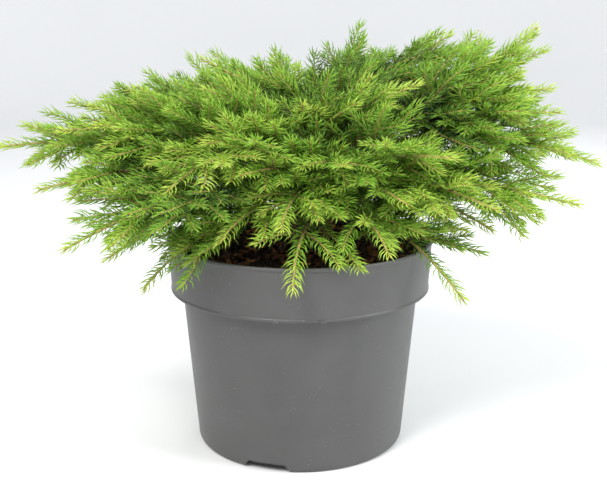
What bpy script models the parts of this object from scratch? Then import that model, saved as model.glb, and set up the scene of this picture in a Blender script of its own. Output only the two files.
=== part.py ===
"""Birds nest spruce in a round plastic nursery pot, at its real size, in metres with +Z up.

The origin is the middle of the pot's flat underside, and -Y is the front. A short leaning trunk stands
in the potting bark. Its long limbs are bare boughs that end in flat sprays, and its short ones are sprays
from the trunk on. A spray is one solid: a stem, side shoots and a saw edge of needles on both sides of
each, larger than life. Every spray keeps to the space that is nearer to its own shoots than to others.
"""

import math
import random

import bmesh
import bpy
import numpy as np
from mathutils import Matrix, Vector

# The pot, turned round the Z axis.
POT_HEIGHT = 0.174
RIM_RADIUS = 0.110
BAND_HEIGHT = 0.0425
BAND_FOOT_RADIUS = 0.1075
BODY_TOP_RADIUS = 0.0985
FOOT_RADIUS = 0.087
FOOT_ROUND = 0.003
WALL = 0.002
FLOOR = 0.003
POT_STEPS = 48

# Three drain notches in the foot of the wall.
NOTCH_COUNT = 3
NOTCH_FIRST_DEG = 252.0
NOTCH_WIDTH = 0.040
NOTCH_TOP_WIDTH = 0.030
NOTCH_HEIGHT = 0.007
NOTCH_DEPTH = 0.009

# The potting bark, up to a little under the rim.
SOIL_TOP = 0.162
SOIL_GAP = 0.0006
SOIL_MOUND = 0.0015
SOIL_STEPS = 24

# The trunk, from the cut at soil level to the tip inside the crown.
TRUNK_LENGTH = 0.106
TRUNK_FOOT_RADIUS = 0.0102
TRUNK_RADIUS = 0.0078
TRUNK_TIP_RADIUS = 0.0038
TRUNK_LEAN_DEG = 4.0
TRUNK_LEAN_TO_DEG = 20.0
TRUNK_STEPS = 6
FLARE_HEIGHT = 0.016
ROOTS = 5
ROOT_REACH = 0.019
ROOT_RISE = 0.012
ROOT_RADIUS = 0.0042
ROOT_TIP_SHARE = 0.3
BURIED = 0.004
GROUND_BLOCK = 0.08

# Limbs. Those whose tips reach BOUGH_REACH have a bare bough for the first part of their way.
GAP = 0.0003
BOUGH_REACH = 0.200
BOUGH_SHARE = 0.33
BOUGH_RADIUS = 0.0029
BOUGH_TIP_RADIUS = 0.0019
BOUGH_POINTS = 5
STEM_RADIUS = 0.0020
SHOOT_RADIUS = 0.0011
STEM_DETAIL = 0.006
WAY_POINTS = 60
ROOM_STEP = 0.0025
FIRST_LIMB = 0.021
LAST_LIMB = 0.099
START_PULL = 0.32
END_PULL = 0.40
RISE_MIN = 12.0
RISE_MAX = 72.0
START_SHIFT = 0.006
START_TURN = 40.0
SWAY = 0.06
LIMB_TRIES = 120
LIMB_SPACE = 0.0070

# Side shoots of a spray, measured back from its tip.
LEAD_MIN = 0.032
LEAD_MAX = 0.062
LEAD_SHARE = 0.40
NODE_STEP = 0.027
BARE_ON_BOUGH = 0.020
BARE_ON_TRUNK = 0.34
SIDE_SHARE = 0.82
SIDE_MAX = 0.074
SIDE_MIN = 0.020
SIDE_START_DEG = 56.0
SIDE_END_DEG = 30.0
SIDE_DROOP = 0.10
SIDE_STEPS = 8
SIDE_NUDGE = 0.003
SIDE_ROLL = 24.0
SIDE_VARY = 0.1
SIDE_TRIES = (1.0, 0.8, 0.63, 0.48)
SHOOT_CLEAR = 0.0070
POT_CLEAR = 0.0035
LIMB_CLEAR = 0.0045

# Needles, as teeth along both edges of a shoot.
NEEDLE = 0.0170
NEEDLE_DEG = 45.0
NEEDLE_ROLL = 36.0
NEEDLE_STEP = 0.0120
NEEDLE_TRIES = (1.0, 0.7)
NEEDLE_ROOM = 0.0022
BARE_AT_ROOT = 0.009
BARE_BEFORE_SIDE = 0.012
LEAST_NEEDLED = 0.05
BARE_STEP = 0.017
TIP_LENGTH = 0.0085

# Where each limb's tip lies: compass angle in degrees (0 is +X, 90 the back, 270 the front), reach from
# the pot's axis, height above the pot's underside, and the slope of its last stretch in degrees.
LIMBS = {
    "left_long": (183, 0.240, 0.250, -7),
    "left_high": (169, 0.196, 0.280, 12),
    "left_top": (163, 0.150, 0.290, 10),
    "left_mid": (196, 0.189, 0.268, -2),
    "left_low": (203, 0.209, 0.228, -14),
    "left_front_long": (219, 0.211, 0.195, -26),
    "left_skirt": (200, 0.160, 0.168, -34),
    "front_left_skirt": (216, 0.145, 0.153, -50),
    "front_left": (232, 0.155, 0.232, -34),
    "front_left_high": (232, 0.110, 0.263, 2),
    "front_left_low": (243, 0.126, 0.195, -34),
    "front_centre": (264, 0.122, 0.206, -32),
    "front_hanging": (268, 0.128, 0.163, -56),
    "front_mid": (250, 0.120, 0.244, 0),
    "front_bright": (285, 0.124, 0.252, 6),
    "front_right_low": (299, 0.134, 0.186, -34),
    "front_right_long": (313, 0.158, 0.257, 4),
    "front_right_mid": (306, 0.132, 0.222, -14),
    "right_front_skirt": (325, 0.151, 0.144, -52),
    "right_front_mid": (324, 0.176, 0.217, -16),
    "right_low": (341, 0.158, 0.190, -30),
    "right_mid": (343, 0.221, 0.213, -14),
    "right_long": (356, 0.239, 0.237, -22),
    "right_front_high": (350, 0.203, 0.280, 0),
    "right_high": (6, 0.209, 0.293, 6),
    "right_tall": (13, 0.203, 0.341, 38),
    "right_arch": (27, 0.170, 0.325, 2),
    "back_right_mid": (38, 0.215, 0.258, -6),
    "back_right_skirt": (50, 0.160, 0.172, -36),
    "back_right_low": (64, 0.205, 0.216, -20),
    "back_high": (78, 0.190, 0.287, 6),
    "back_long": (94, 0.222, 0.246, -10),
    "back_skirt": (103, 0.158, 0.166, -40),
    "back_left_high": (116, 0.182, 0.290, 8),
    "back_left_mid": (133, 0.216, 0.240, -10),
    "back_left_low": (148, 0.192, 0.200, -26),
    "back_left": (151, 0.203, 0.266, 0),
    "top_left": (150, 0.095, 0.315, 22),
    "top_back_left": (118, 0.045, 0.314, 58),
    "top_back_right": (57, 0.100, 0.328, 60),
    "top_front": (272, 0.062, 0.288, 30),
    "top_front_left": (205, 0.080, 0.297, 24),
    "top_front_right": (303, 0.078, 0.290, 22),
    "top_right": (335, 0.100, 0.302, 22),
}

COLOURS = {
    "pot": ((0.135, 0.135, 0.132), 0.48),
    "soil": ((0.080, 0.046, 0.027), 0.95),
    "wood": ((0.165, 0.098, 0.056), 0.85),
    "needles": ((0.150, 0.300, 0.045), 0.55),
}

SEED = 41
UP = Vector((0.0, 0.0, 1.0))


def clear_scene():
    for obj in list(bpy.data.objects):
        bpy.data.objects.remove(obj, do_unlink=True)


def new_collection(name):
    collection = bpy.data.collections.new(name)
    bpy.context.scene.collection.children.link(collection)
    return collection


def material(name, kind):
    """A Principled material of the given kind, named for its part."""
    colour, roughness = COLOURS[kind]
    made = bpy.data.materials.new(name)
    made.use_nodes = True
    shader = made.node_tree.nodes["Principled BSDF"]
    shader.inputs["Base Color"].default_value = (*colour, 1.0)
    shader.inputs["Roughness"].default_value = roughness
    shader.inputs["Metallic"].default_value = 0.0
    return made


def add_object(name, mesh, collection, kind=None):
    obj = bpy.data.objects.new(name, mesh)
    collection.objects.link(obj)
    if kind:
        mesh.materials.clear()
        mesh.materials.append(material(name, kind))
    return obj


def evaluated_mesh(obj):
    graph = bpy.context.evaluated_depsgraph_get()
    return bpy.data.meshes.new_from_object(obj.evaluated_get(graph), depsgraph=graph)


def polar(radius, degrees, height=0.0):
    angle = math.radians(degrees)
    return Vector((radius * math.cos(angle), radius * math.sin(angle), height))


def turned(name, profile, steps, collection, kind):
    """A profile of (radius, height) points, turned once round the Z axis."""
    mesh = bpy.data.meshes.new(name)
    points = [(radius, 0.0, height) for radius, height in profile]
    edges = [(i, i + 1) for i in range(len(points) - 1)]
    mesh.from_pydata(points, edges, [])
    obj = add_object(name, mesh, collection, kind)
    screw = obj.modifiers.new("Turn", "SCREW")
    screw.axis = "Z"
    screw.steps = steps
    screw.render_steps = steps
    screw.use_merge_vertices = True
    screw.merge_threshold = 0.0001
    return obj


def body_radius(height):
    """The pot's outer radius below the rim's band."""
    share = height / (POT_HEIGHT - BAND_HEIGHT)
    return FOOT_RADIUS + (BODY_TOP_RADIUS - FOOT_RADIUS) * share


def inner_radius(height):
    """The pot's inner radius. Inside the band the wall steps out with the outside."""
    step = POT_HEIGHT - BAND_HEIGHT
    if height < step:
        return body_radius(height) - WALL
    share = (height - step) / BAND_HEIGHT
    return BAND_FOOT_RADIUS + (RIM_RADIUS - BAND_FOOT_RADIUS) * share - WALL


def make_pot(collection, cutters):
    step = POT_HEIGHT - BAND_HEIGHT
    inside = [(0.0, FLOOR), (inner_radius(FLOOR), FLOOR), (inner_radius(step - WALL), step - WALL)]
    inside += [(inner_radius(step + WALL), step + WALL), (inner_radius(POT_HEIGHT), POT_HEIGHT)]
    outside = [(RIM_RADIUS, POT_HEIGHT), (BAND_FOOT_RADIUS, step), (BODY_TOP_RADIUS, step)]
    outside += [(body_radius(FOOT_ROUND), FOOT_ROUND), (FOOT_RADIUS - FOOT_ROUND, 0.0), (0.0, 0.0)]
    pot = turned("pot", inside + outside, POT_STEPS, collection, "pot")
    for number in range(NOTCH_COUNT):
        cut = pot.modifiers.new(f"Notch {number + 1}", "BOOLEAN")
        cut.operation = "DIFFERENCE"
        cut.solver = "EXACT"
        cut.object = make_notch_cutter(number, cutters)
    pot.data.shade_smooth()
    return pot


def make_notch_cutter(number, cutters):
    """A block narrower at its top, across the foot of the wall. Its lower half is below the pot."""
    mesh = bpy.data.meshes.new(f"notch_cutter_{number + 1}")
    block = bmesh.new()
    bmesh.ops.create_cube(block, size=1.0)
    for vert in block.verts:
        width = NOTCH_TOP_WIDTH if vert.co.z > 0 else 2.0 * NOTCH_WIDTH - NOTCH_TOP_WIDTH
        vert.co.x *= 2.0 * NOTCH_DEPTH
        vert.co.y *= width
        vert.co.z *= 2.0 * NOTCH_HEIGHT
    block.to_mesh(mesh)
    block.free()
    cutter = add_object(mesh.name, mesh, cutters)
    angle = NOTCH_FIRST_DEG + number * 360.0 / NOTCH_COUNT
    cutter.location = polar(FOOT_RADIUS, angle)
    cutter.rotation_euler.z = math.radians(angle)
    cutter.hide_render = True
    cutter.display_type = "WIRE"
    return cutter


def make_soil(collection):
    step = POT_HEIGHT - BAND_HEIGHT
    low = FLOOR + GAP
    profile = [(0.0, SOIL_TOP), (0.6 * RIM_RADIUS, SOIL_TOP - 0.4 * SOIL_MOUND)]
    profile += [(inner_radius(SOIL_TOP) - SOIL_GAP, SOIL_TOP - SOIL_MOUND)]
    profile += [(inner_radius(height) - SOIL_GAP, height) for height in (step + WALL, step - WALL, low)]
    profile += [(0.0, low)]
    soil = turned("soil", profile, SOIL_STEPS, collection, "soil")
    soil.data.shade_smooth()
    return soil


def trunk_point(height):
    """The trunk's middle at a height above the soil. It rises straight, then leans."""
    lean = math.tan(math.radians(TRUNK_LEAN_DEG)) * max(0.0, height - FLARE_HEIGHT)
    return polar(lean, TRUNK_LEAN_TO_DEG, SOIL_TOP + GAP + height)


def trunk_radius(height):
    if height < FLARE_HEIGHT:
        flare = (1.0 - height / FLARE_HEIGHT) ** 2
        return TRUNK_RADIUS + (TRUNK_FOOT_RADIUS - TRUNK_RADIUS) * flare
    share = (height - FLARE_HEIGHT) / (TRUNK_LENGTH - FLARE_HEIGHT)
    return TRUNK_RADIUS + (TRUNK_TIP_RADIUS - TRUNK_RADIUS) * share


def tube_mesh(name, points, radii, rings):
    """A closed tube through the points, made from a poly curve with filled caps."""
    curve = bpy.data.curves.new(name, "CURVE")
    curve.dimensions = "3D"
    curve.bevel_depth = 1.0
    curve.bevel_resolution = rings
    curve.use_fill_caps = True
    spline = curve.splines.new("POLY")
    spline.points.add(len(points) - 1)
    for spot, point, radius in zip(spline.points, points, radii):
        spot.co = (*point, 1.0)
        spot.radius = radius
    guide = bpy.data.objects.new(name, curve)
    bpy.context.scene.collection.objects.link(guide)
    mesh = evaluated_mesh(guide)
    bpy.data.objects.remove(guide, do_unlink=True)
    weld = bmesh.new()
    weld.from_mesh(mesh)
    bmesh.ops.remove_doubles(weld, verts=weld.verts, dist=1e-6)
    weld.to_mesh(mesh)
    weld.free()
    mesh.name = name
    return mesh


def make_trunk(collection, cutters):
    """The trunk with its root flare, cut flat where it meets the soil."""
    heights = [-BURIED, 0.0, 0.4 * FLARE_HEIGHT, FLARE_HEIGHT]
    rest = TRUNK_LENGTH - FLARE_HEIGHT
    heights += [FLARE_HEIGHT + rest * i / (TRUNK_STEPS - 2) for i in range(1, TRUNK_STEPS - 1)]
    points = [trunk_point(height) for height in heights]
    radii = [trunk_radius(max(height, 0.0)) for height in heights]
    trunk = add_object("trunk", tube_mesh("trunk", points, radii, 3), collection, "wood")
    roots = new_collection("trunk roots")
    for number in range(ROOTS):
        add_object(f"root_{number + 1}", root_mesh(number), roots)
    join_to(trunk, roots)
    floor = bpy.data.meshes.new("ground_cutter")
    block = bmesh.new()
    bmesh.ops.create_cube(block, size=GROUND_BLOCK)
    block.to_mesh(floor)
    block.free()
    cutter = add_object("ground_cutter", floor, cutters)
    cutter.location.z = SOIL_TOP + GAP - GROUND_BLOCK / 2
    cutter.hide_render = True
    cutter.display_type = "WIRE"
    cut = trunk.modifiers.new("Ground cut", "BOOLEAN")
    cut.operation = "DIFFERENCE"
    cut.solver = "EXACT"
    cut.object = cutter
    trunk.data.shade_smooth()
    return trunk


def root_mesh(number):
    """One root of the flare: a cone from inside the trunk down and out into the soil."""
    angle = 360.0 * (number + 0.35) / ROOTS
    top = polar(0.25 * TRUNK_RADIUS, angle, SOIL_TOP + ROOT_RISE)
    foot = polar(ROOT_REACH, angle + 9.0, SOIL_TOP - BURIED)
    mesh = bpy.data.meshes.new("root")
    cone = bmesh.new()
    along = foot - top
    turn = along.to_track_quat("Z", "Y").to_matrix().to_4x4()
    place = Matrix.Translation((top + foot) / 2) @ turn
    radii = {"radius1": ROOT_RADIUS, "radius2": ROOT_TIP_SHARE * ROOT_RADIUS}
    bmesh.ops.create_cone(cone, cap_ends=True, segments=5, depth=along.length, matrix=place, **radii)
    cone.to_mesh(mesh)
    cone.free()
    return mesh


class Spine:
    """A smooth line through space, read by the distance along it."""

    def __init__(self, points):
        self.points = points
        self.marks = [0.0]
        for a, b in zip(points, points[1:]):
            self.marks.append(self.marks[-1] + (b - a).length)
        self.length = self.marks[-1]

    def find(self, mark):
        mark = min(max(mark, 0.0), self.length)
        index = 0
        while index < len(self.marks) - 2 and self.marks[index + 1] < mark:
            index += 1
        span = self.marks[index + 1] - self.marks[index]
        return index, (mark - self.marks[index]) / span

    def at(self, mark):
        index, share = self.find(mark)
        return self.points[index].lerp(self.points[index + 1], share)

    def heading(self, mark):
        index, share = self.find(mark)
        last = len(self.points) - 1
        near = self.points[min(index + 1, last)] - self.points[index]
        far = self.points[min(index + 2, last)] - self.points[min(index + 1, last - 1)]
        return near.normalized().lerp(far.normalized(), share).normalized()

    def part(self, start, end, count):
        return Spine([self.at(start + (end - start) * i / (count - 1)) for i in range(count)])


class Limb:
    """One limb of the plant: its whole way, and where its bare bough ends and its spray starts."""

    def __init__(self, name, way, has_bough):
        self.name = name
        self.way = way
        self.has_bough = has_bough
        bare = BOUGH_SHARE * way.length if has_bough else 0.0
        self.bough = way.part(0.0, bare, BOUGH_POINTS) if has_bough else None
        start = bare + GAP if has_bough else 0.0
        count = 3 + int((way.length - start) / STEM_DETAIL)
        self.stem = way.part(start, way.length, count)
        self.shoots = []


def rising_angle(tip):
    """How steeply a tip lies from the middle of the trunk, the order in which limbs leave it."""
    angle, reach, height, slope = tip
    return math.atan2(height - SOIL_TOP - 0.4 * TRUNK_LENGTH, reach)


def make_limbs():
    """The ways of all limbs. Their starts are spread up the trunk in the order of their tips' angles.

    A limb takes the first of a few seeded ways that clears the limbs before it, or the clearest.
    """
    ranked = sorted(LIMBS, key=lambda name: rising_angle(LIMBS[name]))
    limbs = []
    taken = np.zeros((0, 3))
    for number, (name, tip) in enumerate(LIMBS.items()):
        rng = random.Random(SEED + number)
        share = ranked.index(name) / (len(LIMBS) - 1)
        has_bough = tip[1] >= BOUGH_REACH
        best = None
        for _ in range(LIMB_TRIES):
            shift = START_SHIFT * rng.uniform(-1.0, 1.0)
            height = FIRST_LIMB + (LAST_LIMB - FIRST_LIMB) * share + shift
            way = limb_way(tip, height, has_bough, rng.uniform(-1.0, 1.0), rng.uniform(-1.0, 1.0))
            samples = np.array([way.at(ROOM_STEP * i) for i in range(int(way.length / ROOM_STEP))])
            clear = np.linalg.norm(samples[:, None] - taken[None], axis=2).min() if len(taken) else 1.0
            if best is None or clear > best[0]:
                best = (clear, way, samples)
            if clear > LIMB_SPACE:
                break
        taken = np.vstack([taken, best[2]])
        limbs.append(Limb(name, best[1], has_bough))
    return limbs


def limb_way(tip, height, has_bough, turn, bend):
    """From the trunk's bark at that height out to the tip, rising first and swaying a little."""
    angle, reach, tip_height, slope = tip
    end = polar(reach, angle, tip_height)
    middle = trunk_point(height)
    chord = (end - middle).length
    level = math.degrees(math.atan2(end.z - middle.z, reach))
    rise = math.radians(min(RISE_MAX, max(RISE_MIN, 2.0 * level - slope)))
    leaving = polar(1.0, angle + START_TURN * turn)
    first = leaving * math.cos(rise) + UP * math.sin(rise)
    tilt = math.radians(slope)
    last = polar(1.0, angle) * math.cos(tilt) + UP * math.sin(tilt)
    side = polar(1.0, angle + 90.0)
    thick = BOUGH_RADIUS if has_bough else STEM_RADIUS
    start = middle + leaving * (trunk_radius(height) + GAP + thick * math.sin(rise))
    sway = SWAY * chord * bend
    p1 = start + first * START_PULL * chord + side * sway
    p2 = end - last * END_PULL * chord - side * sway
    points = []
    for i in range(WAY_POINTS + 1):
        t = i / WAY_POINTS
        a = start.lerp(p1, t)
        b = p1.lerp(p2, t)
        c = p2.lerp(end, t)
        points.append(a.lerp(b, t).lerp(b.lerp(c, t), t))
    return Spine(points)


class Room:
    """Samples along every limb and shoot with the node they belong to: who grows where."""

    def __init__(self):
        self.points = np.zeros((0, 3))
        self.owners = np.zeros(0, int)

    def add(self, owner, spine):
        count = max(2, int(spine.length / ROOM_STEP))
        marks = [spine.length * i / (count - 1) for i in range(count)]
        self.points = np.vstack([self.points, [spine.at(mark) for mark in marks]])
        self.owners = np.append(self.owners, [owner] * count)

    def nearest(self, owner, points):
        """For each point, its distance to the owner's own samples and to all others."""
        away = np.linalg.norm(np.asarray(points)[:, None] - self.points[None], axis=2)
        own = self.owners == owner
        return away[:, own].min(axis=1), away[:, ~own].min(axis=1)


def in_pot(point, clear):
    """Whether a point lies in the pot or its soil, or nearer to them than allowed."""
    radius = math.hypot(point.x, point.y)
    if point.z > POT_HEIGHT + clear or radius > RIM_RADIUS + clear:
        return False
    return radius > inner_radius(SOIL_TOP) - clear or point.z < SOIL_TOP + clear


def turned_to(direction, up, degrees):
    return Matrix.Rotation(math.radians(degrees), 3, up) @ direction


def side_way(spine, mark, side, length, roll):
    """A side shoot that leaves its stem sideways, turns forward and sags a little."""
    heading = spine.heading(mark)
    up = (UP - heading * UP.dot(heading)).normalized()
    up = Matrix.Rotation(math.radians(roll), 3, heading) @ up
    point = spine.at(mark)
    points = [point]
    for i in range(SIDE_STEPS):
        share = (i + 0.5) / SIDE_STEPS
        turn = SIDE_START_DEG + (SIDE_END_DEG - SIDE_START_DEG) * share
        direction = turned_to(heading, up, side * turn)
        direction = (direction - UP * SIDE_DROOP * share).normalized()
        point = point + direction * length / SIDE_STEPS
        points.append(point)
    return Spine(points)


def side_marks(limb):
    """Where side shoots leave the stem, as distances from its root, from the tip inwards."""
    stem = limb.stem
    bare = BARE_ON_BOUGH if limb.has_bough else BARE_ON_TRUNK * stem.length
    marks = []
    back = min(LEAD_MAX, max(LEAD_MIN, LEAD_SHARE * stem.length))
    while back < stem.length - bare:
        marks.append(stem.length - back)
        back += NODE_STEP
    return marks


def grow_shoots(limbs, room):
    """Side shoots for every spray in turn, the outermost first, each as long as its room allows."""
    plans = []
    for owner, limb in enumerate(limbs):
        rng = random.Random(SEED * 100 + owner)
        first = rng.choice((-1, 1))
        for rank, mark in enumerate(side_marks(limb)):
            sides = (first, -first) if rank % 2 == 0 else (first if rank % 4 == 1 else -first,)
            for side in sides:
                nudge = mark + rng.uniform(-SIDE_NUDGE, SIDE_NUDGE)
                roll = rng.uniform(-SIDE_ROLL, SIDE_ROLL)
                size = 1.0 + rng.uniform(-SIDE_VARY, SIDE_VARY)
                plans.append((rank, owner, nudge, side, roll, size))
    for rank, owner, mark, side, roll, size in sorted(plans, key=lambda plan: plan[:2]):
        limb = limbs[owner]
        full = min(SIDE_MAX, SIDE_SHARE * (limb.stem.length - mark)) * size
        for share in SIDE_TRIES:
            way = side_way(limb.stem, mark, side, full * share, roll)
            if way.length < SIDE_MIN:
                break
            if fits(way, owner, room):
                limb.shoots.append(way)
                room.add(owner, way)
                break


def fits(way, owner, room):
    """Whether a side shoot stays clear of the pot and of everything in other nodes."""
    if any(in_pot(point, POT_CLEAR) for point in way.points):
        return False
    _, others = room.nearest(owner, way.points[1:])
    return others.min() > SHOOT_CLEAR


def needle_tip(spine, mark, side, roll, length):
    """Where a needle ends that leans forward from its shoot, turned up or down round it by roll."""
    heading = spine.heading(mark)
    across = heading.cross(UP).normalized() * side
    up = across.cross(heading).normalized() * side
    lean = math.radians(NEEDLE_DEG)
    turn = math.radians(roll)
    out = across * math.cos(turn) + up * math.sin(turn)
    return spine.at(mark) + (heading * math.cos(lean) + out * math.sin(lean)) * length


def find_needle(spine, mark, side, roll, owner, room):
    """The tip of a needle with room to grow, or None."""
    root = spine.at(mark)
    for share in NEEDLE_TRIES:
        tip = needle_tip(spine, mark, side, roll, NEEDLE * share)
        middle = root.lerp(tip, 0.6)
        if in_pot(tip, NEEDLE_ROOM):
            continue
        own, others = room.nearest(owner, [tip, middle])
        if (others - own).min() > NEEDLE_ROOM and others.min() > LIMB_CLEAR:
            return tip
    return None


def toothed(name, spine, bare, thick, thin, owner, room):
    """A three-sided shoot along the spine, with needles as teeth on both edges after its bare start."""
    marks = []
    mark = 0.0
    while bare - mark > 1.4 * BARE_STEP:
        marks.append(mark)
        mark += BARE_STEP
    marks.append(mark)
    count = max(1, round((spine.length - TIP_LENGTH - bare) / NEEDLE_STEP))
    step = (spine.length - TIP_LENGTH - bare) / count
    marks += [bare + step * i for i in range(count + 1) if bare + step * i > mark]
    shape = bmesh.new()

    def corner(mark, side, raise_by):
        radius = thick + (thin - thick) * mark / spine.length
        heading = spine.heading(mark)
        across = heading.cross(UP).normalized()
        up = across.cross(heading)
        return shape.verts.new(spine.at(mark) + across * side * radius + up * raise_by * radius)

    left = [corner(mark, -1, -0.5) for mark in marks]
    right = [corner(mark, 1, -0.5) for mark in marks]
    middles = [(a + b) / 2 for a, b in zip(marks, marks[1:])]
    ridge = [corner(middle, 0, 1) for middle in middles]
    butt = corner(marks[0], 0, 1)
    tip = shape.verts.new(spine.at(spine.length))
    shape.faces.new((left[0], butt, right[0]))
    shape.faces.new((left[0], ridge[0], butt))
    shape.faces.new((right[0], butt, ridge[0]))
    for i, middle in enumerate(middles):
        shape.faces.new((left[i], right[i], right[i + 1], left[i + 1]))
        for edge, side in ((left, -1), (right, 1)):
            roll = NEEDLE_ROLL if (i % 2 == 0) == (side > 0) else -NEEDLE_ROLL
            found = None
            if marks[i] >= bare - 1e-6:
                found = find_needle(spine, middle, side, roll, owner, room)
            if found is None:
                shape.faces.new((edge[i], edge[i + 1], ridge[i]))
            else:
                point = shape.verts.new(found)
                shape.faces.new((edge[i], edge[i + 1], point))
                shape.faces.new((edge[i + 1], ridge[i], point))
                shape.faces.new((ridge[i], edge[i], point))
            if i:
                shape.faces.new((edge[i], ridge[i], ridge[i - 1]))
    shape.faces.new((left[-1], right[-1], tip))
    shape.faces.new((left[-1], tip, ridge[-1]))
    shape.faces.new((right[-1], ridge[-1], tip))
    bmesh.ops.recalc_face_normals(shape, faces=shape.faces)
    mesh = bpy.data.meshes.new(name)
    shape.to_mesh(mesh)
    shape.free()
    return mesh


def join_to(obj, collection):
    """One Boolean union of the object with everything in the collection, applied."""
    join = obj.modifiers.new("Join", "BOOLEAN")
    join.operation = "UNION"
    join.operand_type = "COLLECTION"
    join.collection = collection
    for solver in ("EXACT", "MANIFOLD"):
        join.solver = solver
        joined = evaluated_mesh(obj)
        if keep_outer_shell(joined):
            break
    obj.modifiers.remove(join)
    kept = list(obj.data.materials)
    obj.data = joined
    joined.materials.clear()
    for slot in kept:
        joined.materials.append(slot)
    for piece in list(collection.objects):
        bpy.data.objects.remove(piece, do_unlink=True)
    bpy.data.collections.remove(collection)


def keep_outer_shell(mesh):
    """Drops loose scraps and the walls of sealed hollows, and tells whether what is left is closed."""
    shape = bmesh.new()
    shape.from_mesh(mesh)
    left = set(shape.verts)
    islands = []
    while left:
        island = set()
        front = [left.pop()]
        while front:
            vert = front.pop()
            island.add(vert)
            for edge in vert.link_edges:
                other = edge.other_vert(vert)
                if other in left:
                    left.remove(other)
                    front.append(other)
        islands.append(island)
    islands.sort(key=len)
    loose = [vert for island in islands[:-1] for vert in island]
    bmesh.ops.delete(shape, geom=loose, context="VERTS")
    closed = all(len(edge.link_faces) == 2 for edge in shape.edges)
    shape.to_mesh(mesh)
    shape.free()
    return closed


def make_bough(limb, collection):
    points = limb.bough.points
    last = len(points) - 1
    radii = [BOUGH_RADIUS + (BOUGH_TIP_RADIUS - BOUGH_RADIUS) * i / last for i in range(last + 1)]
    name = f"bough_{limb.name}"
    bough = add_object(name, tube_mesh(name, points, radii, 1), collection, "wood")
    bough.data.shade_smooth()
    return bough


def make_spray(limb, owner, room, collection):
    """A spray of foliage: the stem with its side shoots fused on."""
    name = f"foliage_{limb.name}"
    first = side_marks(limb)[-1] - BARE_BEFORE_SIDE
    bare = max(BARE_AT_ROOT, min(limb.stem.length - LEAST_NEEDLED, first))
    thick = BOUGH_TIP_RADIUS if limb.has_bough else STEM_RADIUS
    stem = toothed(name, limb.stem, bare, thick, SHOOT_RADIUS, owner, room)
    spray = add_object(name, stem, collection, "needles")
    sides = new_collection(f"{name} shoots")
    for number, way in enumerate(limb.shoots):
        mesh = toothed(f"{name}_{number}", way, BARE_AT_ROOT, 1.3 * SHOOT_RADIUS, SHOOT_RADIUS, owner, room)
        add_object(mesh.name, mesh, sides)
    join_to(spray, sides)
    return spray


def main():
    clear_scene()
    parts = new_collection("Potted birds nest spruce")
    cutters = new_collection("Cutters")
    make_pot(parts, cutters)
    make_soil(parts)
    make_trunk(parts, cutters)
    limbs = make_limbs()
    room = Room()
    trunk = Spine([trunk_point(TRUNK_LENGTH * i / 8) for i in range(9)])
    room.add(-1, trunk)
    for owner, limb in enumerate(limbs):
        room.add(owner, limb.stem)
        if limb.has_bough:
            room.add(-2 - owner, limb.bough)
    grow_shoots(limbs, room)
    for owner, limb in enumerate(limbs):
        if limb.has_bough:
            make_bough(limb, parts)
        make_spray(limb, owner, room, parts)


main()
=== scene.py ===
"""The looks of a birds nest spruce in a round plastic nursery pot, in metres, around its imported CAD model.

The file is laid out as a Blender add-on. Each operator makes one piece or group of like pieces. The limbs
and their side shoots grow by the same seeded rule as the CAD solids, and go on here to finer twigs.
"""

import functools
import math
import random

import bmesh
import bpy
import numpy as np
from bpy.props import FloatProperty, FloatVectorProperty, IntProperty, PointerProperty
from mathutils import Matrix, Vector, noise


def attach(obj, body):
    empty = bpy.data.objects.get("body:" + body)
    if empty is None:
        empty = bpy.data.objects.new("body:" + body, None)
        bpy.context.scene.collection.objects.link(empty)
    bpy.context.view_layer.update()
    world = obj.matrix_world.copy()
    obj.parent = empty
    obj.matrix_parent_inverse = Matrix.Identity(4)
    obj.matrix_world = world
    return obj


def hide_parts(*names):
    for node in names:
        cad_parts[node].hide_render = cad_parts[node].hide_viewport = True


bl_info = {
    "name": "Potted birds nest spruce",
    "version": (1, 0, 0),
    "blender": (4, 5, 0),
    "location": "3D View > Sidebar > Spruce",
    "description": "Needles, twigs, bark, potting mix and pot of a birds nest spruce",
    "category": "Object",
}

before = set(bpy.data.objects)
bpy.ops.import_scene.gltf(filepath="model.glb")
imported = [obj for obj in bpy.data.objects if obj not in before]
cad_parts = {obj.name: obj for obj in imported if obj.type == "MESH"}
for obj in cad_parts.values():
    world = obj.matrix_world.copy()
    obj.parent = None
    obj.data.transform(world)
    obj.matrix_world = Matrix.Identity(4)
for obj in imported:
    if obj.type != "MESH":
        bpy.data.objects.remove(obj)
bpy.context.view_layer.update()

# The pot.
POT_HEIGHT = 0.174
RIM_RADIUS = 0.110
BAND_HEIGHT = 0.0425
BAND_FOOT_RADIUS = 0.1075
BODY_TOP_RADIUS = 0.0985
FOOT_RADIUS = 0.087
WALL = 0.002
FLOOR = 0.003
STEP = POT_HEIGHT - BAND_HEIGHT
BEAD = 0.0005
POT_STEPS = 160
BEND_STEPS = 5
SHARP_DEG = 34.0
NOTCH_COUNT = 3
NOTCH_FIRST_DEG = 252.0
NOTCH_WIDTH = 0.040
NOTCH_TOP_WIDTH = 0.030
NOTCH_HEIGHT = 0.007
NOTCH_DEPTH = 0.009
NUBS_DEG = (260.4, 279.3)
NUB_SIZE = (0.0016, 0.0046, 0.0026)

# The potting mix.
SOIL_TOP = 0.162
SOIL_RINGS = 72
SOIL_SECTORS = 220
SOIL_DIP = 0.0008
HEAP_HEIGHT = 0.0020
GRAIN_HEIGHT = 0.0009
EDGE_DEPTH = 0.014
TRUNK_ROOM = 0.012
CRUMB_SIZE = 0.0010
CRUMB_SPREAD = 0.42
CRUMB_TILT = 40.0
CHIP_TILT = 20.0
CHIP_SHARP_DEG = 35.0

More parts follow.
